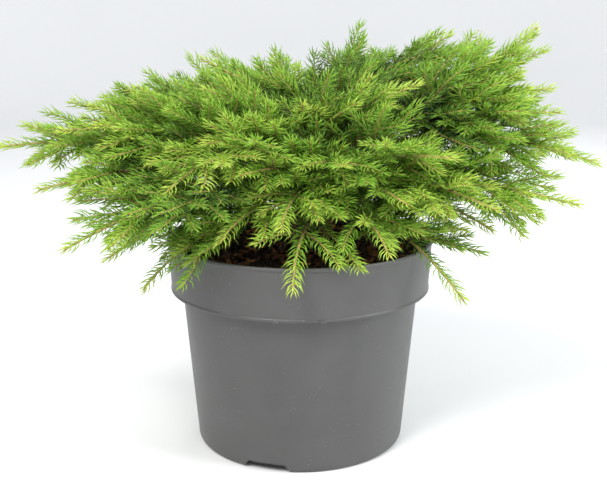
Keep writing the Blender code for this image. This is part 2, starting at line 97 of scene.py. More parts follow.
# Each kind of chip's share of them all, and its brightness.
CHIP_KINDS = {"chips_brown": (0.42, 0.55), "chips_red": (0.34, 1.0), "chips_tan": (0.24, 1.9)}

# The trunk.
GAP = 0.0003
TRUNK_LENGTH = 0.106
TRUNK_FOOT_RADIUS = 0.0102
TRUNK_RADIUS = 0.0078
TRUNK_TIP_RADIUS = 0.0038
TRUNK_LEAN_DEG = 4.0
TRUNK_LEAN_TO_DEG = 20.0
FLARE_HEIGHT = 0.016
ROOTS = 5
ROOT_REACH = 0.019
ROOT_RISE = 0.012
ROOT_RADIUS = 0.0042
BURIED = 0.004
ROOT_ARCH = 0.0016
ROOT_TAPER = 0.7
ROOT_RINGS = 18
ROOT_SIDES = 20
TRUNK_RINGS = 76
TRUNK_SIDES = 48
BOUGH_SIDES = 18
BARK_STEP = 0.0015

# Flakes of bark, each as (usual size, how far they stand out).
TRUNK_FLAKES = (0.0042, 0.0011)
ROOT_FLAKES = (0.0034, 0.0008)
BOUGH_FLAKES = (0.0022, 0.00055)

# Limbs, as the CAD has them.
BOUGH_REACH = 0.200
BOUGH_SHARE = 0.33
BOUGH_RADIUS = 0.0029
BOUGH_TIP_RADIUS = 0.0019
BOUGH_POINTS = 5
STEM_RADIUS = 0.0020
STEM_DETAIL = 0.006
WAY_POINTS = 60
ROOM_STEP = 0.0025
FIRST_LIMB = 0.021
LAST_LIMB = 0.099
START_PULL = 0.32
END_PULL = 0.40
RISE_MIN = 12.0
RISE_MAX = 72.0
START_SHIFT = 0.006
START_TURN = 40.0
SWAY = 0.06
LIMB_TRIES = 120
LIMB_SPACE = 0.0070

# Side shoots, as the CAD has them.
LEAD_MIN = 0.032
LEAD_MAX = 0.062
LEAD_SHARE = 0.40
NODE_STEP = 0.027
BARE_ON_BOUGH = 0.020
BARE_ON_TRUNK = 0.34
SIDE_SHARE = 0.82
SIDE_MAX = 0.074
SIDE_MIN = 0.020
SIDE_START_DEG = 56.0
SIDE_END_DEG = 30.0
SIDE_DROOP = 0.10
SIDE_STEPS = 8
SIDE_NUDGE = 0.003
SIDE_ROLL = 24.0
SIDE_VARY = 0.1
SIDE_TRIES = (1.0, 0.8, 0.63, 0.48)
SHOOT_CLEAR = 0.0070
POT_CLEAR = 0.0035

# Shoots between those, and the finer twigs on all of them.
FILL_SHARE = 0.78
FILL_MIN = 0.018
FILL_LEAST = 0.66
FILL_PLACE = (0.15, 0.85)
FILL_TWICE = 0.4
FILL_ROLL = 58.0
INNER_STEPS = (0.5, 1.2, 1.9)
INNER_ROLLS = (10.0, 78.0)
LEAST_BRANCHED = 0.044
TWIG_FIRST = 0.030
TWIG_STEP = 0.0150
TWIG_SHARE = 0.80
TWIG_MAX = 0.040
TWIG_MIN = 0.014
TWIG_SIZES = (0.75, 1.1)
TWIG_STEPS = (0.55, 0.85)
TWIG_BARE = 0.0015
SIDE_BARE = 0.003
TWIG_ROLL = 34.0
TWIG_ROOT = 0.008
FINE_RADIUS = 0.00085
TIP_RADIUS = 0.00050
REACH_LIMIT = 0.241
TOP_LIMIT = 0.345
OPEN_FRONT_DEG = (234.0, 302.0)
OPEN_FRONT_TOP = 0.203
TWIG_DETAIL = 0.0038

# Needles. GOLDEN is the turn from one needle to the next round the shoot.
GOLDEN = math.radians(137.508)
SIDE_LEAN = 60.0
TOP_LEAN = 44.0
BEND = 0.36
WIDEST_AT = 0.48
WIDEST = 1.12
ROOT_WIDTH = 0.55
FRESH_LENGTH = 0.045
TIP_LEAN = 16.0
LEAN_VARY = 7.0
TURN_VARY = 0.35
LENGTH_VARY = 0.11
FRESH_VARY = 0.05
FINE_LENGTH = 0.92
TUFT = 0.007
WALL_CLEAR = 0.0005
RIM_CLEAR = 0.0008
SOIL_CLEAR = 0.002
MOST_NEEDLES = 21500
SHADES = 7

# The studio. Each light is (place, size, power, colour).
FLAT_RADIUS = 2.3
CURVE = 0.7
CURVE_STEPS = 12
WALL_TOP = 1.5
STUDIO_STEPS = 96
SKY_COLOUR = (0.94, 0.97, 1.0, 1.0)
SKY_STRENGTH = 0.62
AIM = (0.0, 0.0, 0.2)
LIGHTS = {
    "key": ((-0.8, -1.2, 1.8), 0.9, 42.0, (1.0, 0.985, 0.96)),
    "fill": ((1.7, -0.6, 1.1), 1.1, 32.0, (0.97, 0.985, 1.0)),
    "back": ((0.5, 1.5, 1.5), 1.2, 10.0, (1.0, 1.0, 1.0)),
}
CAMERA_PLACE = (0.0029, -0.8377, 0.3709)
CAMERA_TILT_DEG = 76.48
SENSOR_WIDTH = 36.0
FOCAL_LENGTH = 61.09

SEED = 41
UP = Vector((0.0, 0.0, 1.0))

# Where each limb's tip lies: compass angle in degrees (0 is +X, 90 the back, 270 the front), reach from
# the pot's axis, height above the pot's underside, and the slope of its last stretch in degrees.
LIMBS = {
    "left_long": (183, 0.240, 0.250, -7),
    "left_high": (169, 0.196, 0.280, 12),
    "left_top": (163, 0.150, 0.290, 10),
    "left_mid": (196, 0.189, 0.268, -2),
    "left_low": (203, 0.209, 0.228, -14),
    "left_front_long": (219, 0.211, 0.195, -26),
    "left_skirt": (200, 0.160, 0.168, -34),
    "front_left_skirt": (216, 0.145, 0.153, -50),
    "front_left": (232, 0.155, 0.232, -34),
    "front_left_high": (232, 0.110, 0.263, 2),
    "front_left_low": (243, 0.126, 0.195, -34),
    "front_centre": (264, 0.122, 0.206, -32),
    "front_hanging": (268, 0.128, 0.163, -56),
    "front_mid": (250, 0.120, 0.244, 0),
    "front_bright": (285, 0.124, 0.252, 6),
    "front_right_low": (299, 0.134, 0.186, -34),
    "front_right_long": (313, 0.158, 0.257, 4),
    "front_right_mid": (306, 0.132, 0.222, -14),
    "right_front_skirt": (325, 0.151, 0.144, -52),
    "right_front_mid": (324, 0.176, 0.217, -16),
    "right_low": (341, 0.158, 0.190, -30),
    "right_mid": (343, 0.221, 0.213, -14),
    "right_long": (356, 0.239, 0.237, -22),
    "right_front_high": (350, 0.203, 0.280, 0),
    "right_high": (6, 0.209, 0.293, 6),
    "right_tall": (13, 0.203, 0.341, 38),
    "right_arch": (27, 0.170, 0.325, 2),
    "back_right_mid": (38, 0.215, 0.258, -6),
    "back_right_skirt": (50, 0.160, 0.172, -36),
    "back_right_low": (64, 0.205, 0.216, -20),
    "back_high": (78, 0.190, 0.287, 6),
    "back_long": (94, 0.222, 0.246, -10),
    "back_skirt": (103, 0.158, 0.166, -40),
    "back_left_high": (116, 0.182, 0.290, 8),
    "back_left_mid": (133, 0.216, 0.240, -10),
    "back_left_low": (148, 0.192, 0.200, -26),
    "back_left": (151, 0.203, 0.266, 0),
    "top_left": (150, 0.095, 0.315, 22),
    "top_back_left": (118, 0.045, 0.314, 58),
    "top_back_right": (57, 0.100, 0.328, 60),
    "top_front": (272, 0.062, 0.288, 30),
    "top_front_left": (205, 0.080, 0.297, 24),
    "top_front_right": (303, 0.078, 0.290, 22),
    "top_right": (335, 0.100, 0.302, 22),
}


def colour_property(name, description, default):
    settings = {"subtype": "COLOR", "size": 3, "min": 0.0, "max": 1.0}
    return FloatVectorProperty(name=name, description=description, default=default, **settings)


def length_property(name, description, default):
    return FloatProperty(name=name, description=description, default=default, unit="LENGTH", precision=5)


class SpruceSizes(bpy.types.PropertyGroup):
    """Sizes and counts of the plant and its potting mix."""

    needle_length: length_property("Needle length", "Length of a full-grown needle", 0.0118)
    needle_width: length_property("Needle width", "Width of a needle at its middle", 0.00108)
    needle_pitch: length_property("Needle pitch", "Length of shoot for each needle", 0.00080)
    bud_length: length_property("Bud length", "Length of the bud on a strong tip", 0.0036)
    chip_length: length_property("Chip length", "Usual length of a bark chip", 0.0082)
    chips: IntProperty(name="Bark chips", description="Chips on the potting mix", default=460, min=0)
    crumbs: IntProperty(name="Crumbs", description="Crumbs on the potting mix", default=1800, min=0)


class SpruceColours(bpy.types.PropertyGroup):
    """Colours of the plant, the potting mix and the pot."""

    fresh: colour_property("Fresh needles", "Needles at the tips", (0.500, 0.650, 0.090))
    grown: colour_property("Grown needles", "Needles on last year's shoots", (0.225, 0.430, 0.036))
    # The old needles' colour is darker than their own green: partly their age, partly painted shade deep in
    # the crown and its hollows.
    old: colour_property("Old needles", "Needles deep in the crown", (0.014, 0.054, 0.012))
    shoot: colour_property("Young shoots", "Bark of this year's shoots", (0.440, 0.340, 0.110))
    twig: colour_property("Twigs", "Bark of older twigs", (0.230, 0.140, 0.070))
    bark: colour_property("Bark", "Bark of the trunk and boughs", (0.150, 0.095, 0.062))
    bud: colour_property("Buds", "Bud tips", (0.360, 0.190, 0.075))
    scale: colour_property("Bud scales", "Papery scales at the foot of a shoot", (0.480, 0.320, 0.180))
    pot: colour_property("Pot", "Moulded plastic", (0.073, 0.073, 0.071))
    soil: colour_property("Potting mix", "Damp peat", (0.030, 0.018, 0.010))
    chip: colour_property("Bark chips", "Freshly broken bark", (0.300, 0.130, 0.048))
    floor: colour_property("Floor", "Studio floor", (0.840, 0.845, 0.850))


class Field:
    """A node's socket that takes part in Python arithmetic."""

    def __init__(self, finish, socket):
        self.finish = finish
        self.socket = socket

    def join(self, operation, first, second):
        return self.finish.node("ShaderNodeMath", {"operation": operation}, {0: first, 1: second})

    def __add__(self, other):
        return self.join("ADD", self, other)

    __radd__ = __add__

    def __mul__(self, other):
        return self.join("MULTIPLY", self, other)

    __rmul__ = __mul__


class Finish:
    """A material in the making, with one Principled surface."""

    def __init__(self, name, roughness, gloss=0.5):
        self.material = bpy.data.materials.new(name)
        self.material.use_nodes = True
        self.tree = self.material.node_tree
        self.surface = self.tree.nodes["Principled BSDF"]
        self.surface.inputs["Roughness"].default_value = roughness
        self.surface.inputs["Specular IOR Level"].default_value = gloss
        self.place = self.node("ShaderNodeTexCoord", {}, {}, "Object")

    def plug(self, socket, value):
        if isinstance(value, Field):
            self.tree.links.new(value.socket, socket)
        else:
            socket.default_value = value

    def node(self, kind, settings, inputs, output=0):
        made = self.tree.nodes.new(kind)
        for name, value in settings.items():
            setattr(made, name, value)
        for name, value in inputs.items():
            self.plug(made.inputs[name], value)
        return Field(self, made.outputs[output])

    def stretched(self, scale):
        """The object's own coordinates, scaled along each axis."""
        return self.node("ShaderNodeVectorMath", {"operation": "MULTIPLY"}, {0: self.place, 1: scale})

    def grain(self, size, detail=2.0, place=None):
        """Noise from 0 to 1 with grains of about that size in metres."""
        inputs = {"Vector": place or self.place, "Scale": 1.0 / size, "Detail": detail}
        return self.node("ShaderNodeTexNoise", {}, inputs)

    def above(self, field, low, high):
        """0 where the field is under low and 1 where it is over high."""
        return self.node("ShaderNodeMapRange", {}, {"Value": field, "From Min": low, "From Max": high})

    def blend(self, factor, first, second):
        """A colour between two others."""
        inputs = {0: factor, 6: opaque(first), 7: opaque(second)}
        return self.node("ShaderNodeMix", {"data_type": "RGBA"}, inputs, 2)

    def clouds(self, size, detail):
        """Soft patches of about that size in metres."""
        return self.above(self.grain(size, detail), 0.3, 0.7)

    def mottled(self, factor, colour, dark, light):
        """The colour, scaled by dark where the factor is 0 and by light where it is 1."""
        return self.blend(factor, shaded(colour, dark), shaded(colour, light))

    def set(self, socket, value):
        self.plug(self.surface.inputs[socket], value)

    def bump(self, height, depth, strength=1.0):
        inputs = {"Height": height, "Distance": depth, "Strength": strength}
        self.set("Normal", self.node("ShaderNodeBump", {}, inputs))


def opaque(colour):
    return colour if isinstance(colour, Field) else (*colour, 1.0)


def shaded(colour, factor):
    return tuple(min(1.0, channel * factor) for channel in colour)


def between(first, second, share):
    return tuple(a + (b - a) * share for a, b in zip(first, second))


def pot_finish(colours):
    """Satin moulded plastic with faint clouds, dust and a fine moulding grain."""
    finish = Finish("pot_plastic", 0.42, 0.5)
    clouds = finish.clouds(0.030, 4.0)
    body = finish.mottled(clouds, colours.pot, 0.90, 1.10)
    dust = finish.above(finish.grain(0.0016, 1.0), 0.70, 0.76)
    patches = finish.above(finish.grain(0.045, 2.0), 0.48, 0.66)
    marks = dust * patches
    finish.set("Base Color", finish.blend(marks * 0.35, body, (0.42, 0.41, 0.38)))
    finish.set("Roughness", 0.38 + 0.12 * clouds + 0.25 * marks)
    finish.bump(finish.grain(0.0006, 2.0) + 0.4 * finish.grain(0.004, 1.0), 0.00010, 0.5)
    return finish.material


def soil_finish(colours):
    finish = Finish("peat", 0.92, 0.25)
    patches = finish.above(finish.grain(0.006, 4.0), 0.35, 0.68)
    fibres = finish.above(finish.grain(0.0012, 2.0), 0.55, 0.75)
    base = finish.mottled(patches, colours.soil, 0.6, 1.7)
    finish.set("Base Color", finish.blend(fibres * 0.6, base, shaded(colours.soil, 3.2)))
    finish.bump(finish.grain(0.0011, 4.0), 0.0009)
    return finish.material


def chip_finish(name, colour):
    """Broken bark with a fibre grain and darker patches."""
    finish = Finish(name, 0.85, 0.3)
    patches = finish.above(finish.grain(0.0035, 3.0), 0.35, 0.65)
    fibres = finish.grain(0.0006, 3.0, finish.stretched((1.0, 1.0, 4.0)))
    base = finish.mottled(patches, colour, 0.45, 1.25)
    finish.set("Base Color", finish.blend(fibres * 0.5, base, shaded(colour, 0.6)))
    finish.bump(fibres, 0.0005)
    return finish.material


def bark_finish(name, colour, size):
    """Flaky bark: patches of grey-brown over red-brown, with dark cracks."""
    finish = Finish(name, 0.88, 0.3)
    flakes = finish.grain(size, 5.0, finish.stretched((1.0, 1.0, 0.5)))
    patches = finish.above(flakes, 0.36, 0.64)
    cracks = finish.above(flakes, 0.44, 0.38)
    base = finish.mottled(patches, colour, 0.62, 1.5)
    finish.set("Base Color", finish.blend(cracks * 0.7, base, shaded(colour, 0.3)))
    finish.bump(flakes, 0.3 * size)
    return finish.material


def smooth_finish(name, colour, roughness, size):
    """A small smooth thing whose colour changes a little over a few of its own lengths."""
    finish = Finish(name, roughness, 0.4)
    finish.set("Base Color", finish.mottled(finish.clouds(size, 2.0), colour, 0.72, 1.22))
    finish.bump(finish.grain(0.2 * size, 2.0), 0.03 * size)
    return finish.material


def needle_finish(number, colour):
    """A waxy needle. Its colour is plain but for a slight change from place to place."""
    finish = Finish(f"needle_{number + 1}", 0.50, 0.32)
    finish.set("Base Color", finish.mottled(finish.clouds(0.004, 1.0), colour, 0.86, 1.12))
    return finish.material


def floor_finish(colours):
    finish = Finish("studio_floor", 0.7, 0.2)
    finish.set("Base Color", finish.mottled(finish.clouds(0.35, 2.0), colours.floor, 0.985, 1.0))
    return finish.material


def add_piece(name, mesh, material, nodes=()):
    """One piece of the plant or pot, riding on the part's only body."""
    obj = bpy.data.objects.new(name, mesh)
    bpy.context.scene.collection.objects.link(obj)
    mesh.materials.clear()
    mesh.materials.append(material)
    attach(obj, "root")
    if nodes:
        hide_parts(*nodes)
    return obj


def plain_mesh(name, verts, faces):
    """A smooth mesh from arrays of vertices and triangles."""
    verts = verts.astype(np.float32)
    faces = faces.astype(np.int32)
    mesh = bpy.data.meshes.new(name)
    mesh.vertices.add(len(verts))
    mesh.vertices.foreach_set("co", verts.ravel())
    mesh.loops.add(faces.size)
    mesh.loops.foreach_set("vertex_index", faces.ravel())
    mesh.polygons.add(len(faces))
    mesh.polygons.foreach_set("loop_start", np.arange(len(faces), dtype=np.int32) * 3)
    mesh.update(calc_edges=True)
    mesh.shade_smooth()
    return mesh


class Heap:
    """Vertices and triangles of many small shapes, gathered to become one mesh."""

    def __init__(self):
        self.verts = []
        self.faces = []
        self.count = 0

    def add(self, verts, faces):
        self.verts.append(verts)
        self.faces.append(faces + self.count)
        self.count += len(verts)

    def mesh(self, name):
        return plain_mesh(name, np.concatenate(self.verts), np.concatenate(self.faces))


def polar(radius, degrees, height=0.0):
    angle = math.radians(degrees)
    return Vector((radius * math.cos(angle), radius * math.sin(angle), height))


def units(vectors):
    return vectors / np.linalg.norm(vectors, axis=-1, keepdims=True)


def side_frames(headings):
    """For each heading, the level direction across it and the upward one square to both."""
    across = units(np.cross(headings, np.array(UP)))
    return across, np.cross(across, headings)


def repeated(faces, count, size):
    """The triangles of that many copies of a shape, each with its own vertices."""
    return (faces[None] + np.arange(count)[:, None, None] * size).reshape(-1, 3)


def copies(verts, faces, turns, places):
    """A small shape repeated with each 3x3 matrix and place. verts may differ from copy to copy."""
    shapes = np.broadcast_to(verts, (len(places), *verts.shape[-2:]))
    moved = np.einsum("nij,nmj->nmi", turns, shapes) + places[:, None]
    return moved.reshape(-1, 3), repeated(faces, len(places), verts.shape[-2])


def tube_faces(rings, sides):
    """Triangles between rings of vertices, facing out where each ring turns left about the way along."""
    ring = np.arange(rings - 1)[:, None] * sides
    side = np.arange(sides)[None]
    after = (side + 1) % sides
    a, b, c, d = ring + side, ring + after, ring + sides + after, ring + sides + side
    return np.stack([np.stack([a, b, c], -1), np.stack([a, c, d], -1)], 2).reshape(-1, 3)


def tube(points, radii, sides, relief=None):
    """A tube through the points. relief(ring, side) scales the radius there."""
    points = np.asarray(points, float)
    headings = units(np.gradient(points, axis=0))
    across, up = side_frames(headings)
    turn = 2.0 * math.pi * np.arange(sides) / sides
    out = across[:, None] * np.cos(turn)[None, :, None] - up[:, None] * np.sin(turn)[None, :, None]
    radii = np.asarray(radii, float)[:, None]
    if relief is not None:
        radii = radii * relief
    else:
        radii = np.repeat(radii, sides, axis=1)
    verts = points[:, None] + out * radii[:, :, None]
    return verts.reshape(-1, 3), tube_faces(len(points), sides)


def body_radius(height):
    """The pot's outer radius below the rim's band."""
    return FOOT_RADIUS + (BODY_TOP_RADIUS - FOOT_RADIUS) * height / STEP


def inner_radius(height):
    """The pot's inner radius. Inside the band the wall steps out with the outside."""
    if height < STEP:
        return body_radius(height) - WALL
    share = (height - STEP) / BAND_HEIGHT
    return BAND_FOOT_RADIUS + (RIM_RADIUS - BAND_FOOT_RADIUS) * share - WALL


def trunk_point(height):
    """The trunk's middle at a height above the soil. It rises straight, then leans."""
    lean = math.tan(math.radians(TRUNK_LEAN_DEG)) * max(0.0, height - FLARE_HEIGHT)
    return polar(lean, TRUNK_LEAN_TO_DEG, SOIL_TOP + GAP + height)


def trunk_radius(height):
    if height < FLARE_HEIGHT:
        flare = (1.0 - height / FLARE_HEIGHT) ** 2
        return TRUNK_RADIUS + (TRUNK_FOOT_RADIUS - TRUNK_RADIUS) * flare
    share = (height - FLARE_HEIGHT) / (TRUNK_LENGTH - FLARE_HEIGHT)
    return TRUNK_RADIUS + (TRUNK_TIP_RADIUS - TRUNK_RADIUS) * share


class Spine:
    """A smooth line through space, read by the distance along it."""

    def __init__(self, points):
        self.points = points
        self.marks = [0.0]
        for a, b in zip(points, points[1:]):
            self.marks.append(self.marks[-1] + (b - a).length)
        self.length = self.marks[-1]

    def find(self, mark):
        mark = min(max(mark, 0.0), self.length)
        index = 0
        while index < len(self.marks) - 2 and self.marks[index + 1] < mark:
            index += 1
        span = self.marks[index + 1] - self.marks[index]
        return index, (mark - self.marks[index]) / span

    def at(self, mark):
        index, share = self.find(mark)
        return self.points[index].lerp(self.points[index + 1], share)

    def heading(self, mark):
        index, share = self.find(mark)
        last = len(self.points) - 1
        near = self.points[min(index + 1, last)] - self.points[index]
        far = self.points[min(index + 2, last)] - self.points[min(index + 1, last - 1)]
        return near.normalized().lerp(far.normalized(), share).normalized()

    def part(self, start, end, count):
        return Spine([self.at(start + (end - start) * i / (count - 1)) for i in range(count)])

    def samples(self, marks):
        """Points and headings at many marks at once, as arrays."""
        points = np.array(self.points)
        headings = units(np.gradient(points, axis=0))
        place = np.stack([np.interp(marks, self.marks, points[:, i]) for i in range(3)], 1)
        turned = np.stack([np.interp(marks, self.marks, headings[:, i]) for i in range(3)], 1)
        return place, units(turned)


class Limb:
    """One limb of the plant: its whole way, and where its bare bough ends and its spray starts."""

    def __init__(self, name, way, has_bough):
        self.name = name
        self.way = way
        self.has_bough = has_bough
        bare = BOUGH_SHARE * way.length if has_bough else 0.0
        self.bough = way.part(0.0, bare, BOUGH_POINTS) if has_bough else None
        start = bare + GAP if has_bough else 0.0
        count = 3 + int((way.length - start) / STEM_DETAIL)
        self.stem = way.part(start, way.length, count)
        self.shoots = []


def rising_angle(tip):
    """How steeply a tip lies from the middle of the trunk, the order in which limbs leave it."""
    angle, reach, height, slope = tip
    return math.atan2(height - SOIL_TOP - 0.4 * TRUNK_LENGTH, reach)


def make_limbs():
    """The ways of all limbs. Their starts are spread up the trunk in the order of their tips' angles.

    A limb takes the first of a few seeded ways that clears the limbs before it, or the clearest.
    """
    ranked = sorted(LIMBS, key=lambda name: rising_angle(LIMBS[name]))
    limbs = []
    taken = np.zeros((0, 3))
    for number, (name, tip) in enumerate(LIMBS.items()):
        rng = random.Random(SEED + number)
        share = ranked.index(name) / (len(LIMBS) - 1)
        has_bough = tip[1] >= BOUGH_REACH
        best = None
        for _ in range(LIMB_TRIES):
            shift = START_SHIFT * rng.uniform(-1.0, 1.0)
            height = FIRST_LIMB + (LAST_LIMB - FIRST_LIMB) * share + shift
            way = limb_way(tip, height, has_bough, rng.uniform(-1.0, 1.0), rng.uniform(-1.0, 1.0))
            samples = np.array([way.at(ROOM_STEP * i) for i in range(int(way.length / ROOM_STEP))])
            clear = np.linalg.norm(samples[:, None] - taken[None], axis=2).min() if len(taken) else 1.0
            if best is None or clear > best[0]:
                best = (clear, way, samples)
            if clear > LIMB_SPACE:
                break
        taken = np.vstack([taken, best[2]])
        limbs.append(Limb(name, best[1], has_bough))
    return limbs


def limb_way(tip, height, has_bough, turn, bend):
    """From the trunk's bark at that height out to the tip, rising first and swaying a little."""
    angle, reach, tip_height, slope = tip
    end = polar(reach, angle, tip_height)
    middle = trunk_point(height)
    chord = (end - middle).length
    level = math.degrees(math.atan2(end.z - middle.z, reach))
    rise = math.radians(min(RISE_MAX, max(RISE_MIN, 2.0 * level - slope)))
    leaving = polar(1.0, angle + START_TURN * turn)
    first = leaving * math.cos(rise) + UP * math.sin(rise)
    tilt = math.radians(slope)
    last = polar(1.0, angle) * math.cos(tilt) + UP * math.sin(tilt)
    side = polar(1.0, angle + 90.0)
    thick = BOUGH_RADIUS if has_bough else STEM_RADIUS
    start = middle + leaving * (trunk_radius(height) + GAP + thick * math.sin(rise))
    sway = SWAY * chord * bend
    p1 = start + first * START_PULL * chord + side * sway
    p2 = end - last * END_PULL * chord - side * sway
    points = []
    for i in range(WAY_POINTS + 1):
        t = i / WAY_POINTS
        a = start.lerp(p1, t)
        b = p1.lerp(p2, t)
        c = p2.lerp(end, t)
        points.append(a.lerp(b, t).lerp(b.lerp(c, t), t))
    return Spine(points)


class Room:
    """Samples along every limb and shoot with the node they belong to: who grows where."""

    def __init__(self):
        self.points = np.zeros((0, 3))
        self.owners = np.zeros(0, int)

    def add(self, owner, spine):
        count = max(2, int(spine.length / ROOM_STEP))
        marks = [spine.length * i / (count - 1) for i in range(count)]
        self.points = np.vstack([self.points, [spine.at(mark) for mark in marks]])
        self.owners = np.append(self.owners, [owner] * count)

    def nearest_other(self, owner, points):
        """The least distance from the points to what belongs to other nodes."""
        others = self.points[self.owners != owner]
        return np.linalg.norm(np.asarray(points)[:, None] - others[None], axis=2).min()


def in_pot(point, clear):
    """Whether a point lies in the pot or its soil, or nearer to them than allowed."""
    radius = math.hypot(point.x, point.y)
    if point.z > POT_HEIGHT + clear or radius > RIM_RADIUS + clear:
        return False
    return radius > inner_radius(SOIL_TOP) - clear or point.z < SOIL_TOP + clear


def turned_to(direction, up, degrees):
    return Matrix.Rotation(math.radians(degrees), 3, up) @ direction


def side_way(spine, mark, side, length, roll):
    """A side shoot that leaves its stem sideways, turns forward and sags a little."""
    heading = spine.heading(mark)
    up = (UP - heading * UP.dot(heading)).normalized()
    up = Matrix.Rotation(math.radians(roll), 3, heading) @ up
    point = spine.at(mark)
    points = [point]
    for i in range(SIDE_STEPS):
        share = (i + 0.5) / SIDE_STEPS
        turn = SIDE_START_DEG + (SIDE_END_DEG - SIDE_START_DEG) * share
        direction = turned_to(heading, up, side * turn)
        direction = (direction - UP * SIDE_DROOP * share).normalized()
        point = point + direction * length / SIDE_STEPS
        points.append(point)
    return Spine(points)


def side_marks(limb):
    """Where side shoots leave the stem, as distances from its root, from the tip inwards."""
    stem = limb.stem
    bare = BARE_ON_BOUGH if limb.has_bough else BARE_ON_TRUNK * stem.length
    marks = []
    back = min(LEAD_MAX, max(LEAD_MIN, LEAD_SHARE * stem.length))
    while back < stem.length - bare:
        marks.append(stem.length - back)
        back += NODE_STEP
    return marks


def grow_shoots(limbs, room):
    """Side shoots for every spray in turn, the outermost first, each as long as its room allows."""
    plans = []
    for owner, limb in enumerate(limbs):
        rng = random.Random(SEED * 100 + owner)
        first = rng.choice((-1, 1))
        for rank, mark in enumerate(side_marks(limb)):
            sides = (first, -first) if rank % 2 == 0 else (first if rank % 4 == 1 else -first,)
            for side in sides:
                nudge = mark + rng.uniform(-SIDE_NUDGE, SIDE_NUDGE)
                roll = rng.uniform(-SIDE_ROLL, SIDE_ROLL)
                size = 1.0 + rng.uniform(-SIDE_VARY, SIDE_VARY)
                plans.append((rank, owner, nudge, side, roll, size))
    for rank, owner, mark, side, roll, size in sorted(plans, key=lambda plan: plan[:2]):
        limb = limbs[owner]
        full = min(SIDE_MAX, SIDE_SHARE * (limb.stem.length - mark)) * size
        for share in SIDE_TRIES:
            way = side_way(limb.stem, mark, side, full * share, roll)
            if way.length < SIDE_MIN:
                break
            clear = not any(in_pot(point, POT_CLEAR) for point in way.points)
            if clear and room.nearest_other(owner, way.points[1:]) > SHOOT_CLEAR:
                limb.shoots.append(way)
                room.add(owner, way)
                break


class Twig:
    """A needled shoot: its spine, radii, bare first stretch and how fresh its foot and tip are. Near the
    trunk, low freshness also paints shade deep in the crown.
    """

    def __init__(self, spine, radii, bare, freshness_and_shade, rank):
        self.spine = spine
        self.radii = radii
        self.bare = bare
        self.freshness_and_shade = freshness_and_shade
        self.rank = rank


def stays_in(way):
    """Whether a finer shoot keeps within the crown's reach, clear of the pot and of the open front.

    In front, the crown's underside is high enough for the potting mix to show.
    """
    if any(in_pot(point, POT_CLEAR) for point in way.points):
        return False
    tip = way.points[-1]
    angle = math.degrees(math.atan2(tip.y, tip.x)) % 360.0
    if OPEN_FRONT_DEG[0] < angle < OPEN_FRONT_DEG[1] and tip.z < OPEN_FRONT_TOP:
        return False
    return math.hypot(tip.x, tip.y) < REACH_LIMIT and tip.z < TOP_LIMIT


def filling_shoots(limb, rng):
    """Shoots between the source's own, some raised and some lowered, which make the spray thick.

    Towards the trunk they are all raised, and close the middle of the crown.
    """
    found = []
    stem = limb.stem
    marks = side_marks(limb)
    inner = [marks[-1] - step * NODE_STEP for step in INNER_STEPS]
    for mark in marks + inner:
        for side in (-1, 1):
            for _ in range(2 if mark in marks and rng.random() < FILL_TWICE else 1):
                foot = mark + rng.uniform(*FILL_PLACE) * NODE_STEP
                full = min(SIDE_MAX, FILL_SHARE * (stem.length - foot))
                length = full * rng.uniform(FILL_LEAST, 1.0)
                if length < FILL_MIN or foot < TWIG_ROOT:
                    continue
                if mark in inner:
                    roll = side * rng.uniform(*INNER_ROLLS)
                else:
                    roll = rng.uniform(-FILL_ROLL, FILL_ROLL)
                way = side_way(stem, foot, side, length, roll)
                if stays_in(way):
                    found.append(way)
    return found


def finer_twigs(way, freshness_and_shade, rng):
    """Twigs on a side shoot, short towards its tip."""
    twigs = []
    if way.length < LEAST_BRANCHED:
        return twigs
    back = TWIG_FIRST
    side = rng.choice((-1, 1))
    while back < way.length - TWIG_ROOT:
        side = -side
        length = min(TWIG_MAX, TWIG_SHARE * back) * rng.uniform(*TWIG_SIZES)
        if length > TWIG_MIN:
            roll = rng.uniform(-TWIG_ROLL, TWIG_ROLL)
            twig = side_way(way, way.length - back, side, length, roll)
            if stays_in(twig):
                twigs.append(Twig(twig, (0.8 * FINE_RADIUS, TIP_RADIUS), TWIG_BARE, freshness_and_shade, 2))
        back += TWIG_STEP * rng.uniform(*TWIG_STEPS)
    return twigs


def limb_twigs(limb, owner):
    """All needled shoots of a limb. Needles nearer the trunk get darker shades: partly their age, partly
    painted shade deep in the crown.
    """
    rng = random.Random(SEED * 1000 + owner)
    stem = limb.stem
    thick = BOUGH_TIP_RADIUS if limb.has_bough else STEM_RADIUS
    bare = 0.10 * stem.length if limb.has_bough else 0.22 * stem.length
    mood = rng.uniform(-0.10, 0.10)
    # The stem's needles darken towards the trunk: partly their age, partly painted shade deep in the crown.
    twigs = [Twig(stem, (thick, 1.4 * TIP_RADIUS), bare, (0.02 + mood, 0.95 + mood), 0)]
    for way in limb.shoots + filling_shoots(limb, rng):
        foot = (way.points[0] - stem.points[0]).length / stem.length
        own = mood + rng.uniform(-0.08, 0.08)
        # Shoots that leave nearer the trunk get darker needles: partly their age, partly painted shade deep
        # in the crown. A finer twig's needles end a little darker than its shoot's.
        fresh = (0.44 * foot + own, 0.40 + 0.56 * foot + own)
        twigs.append(Twig(way, (FINE_RADIUS, TIP_RADIUS), SIDE_BARE, fresh, 1))
        inner = (0.44 * foot + own, 0.32 + 0.56 * foot + own)
        twigs += finer_twigs(way, inner, rng)
    return twigs


@functools.cache
def grown():
    """The whole plant: its limbs, and every needled shoot on them."""
    limbs = make_limbs()
    room = Room()
    room.add(-1, Spine([trunk_point(TRUNK_LENGTH * i / 8) for i in range(9)]))
    for owner, limb in enumerate(limbs):
        room.add(owner, limb.stem)
        if limb.has_bough:
            room.add(-2 - owner, limb.bough)
    grow_shoots(limbs, room)
    twigs = []
    for owner, limb in enumerate(limbs):
        twigs += limb_twigs(limb, owner)
    return limbs, twigs


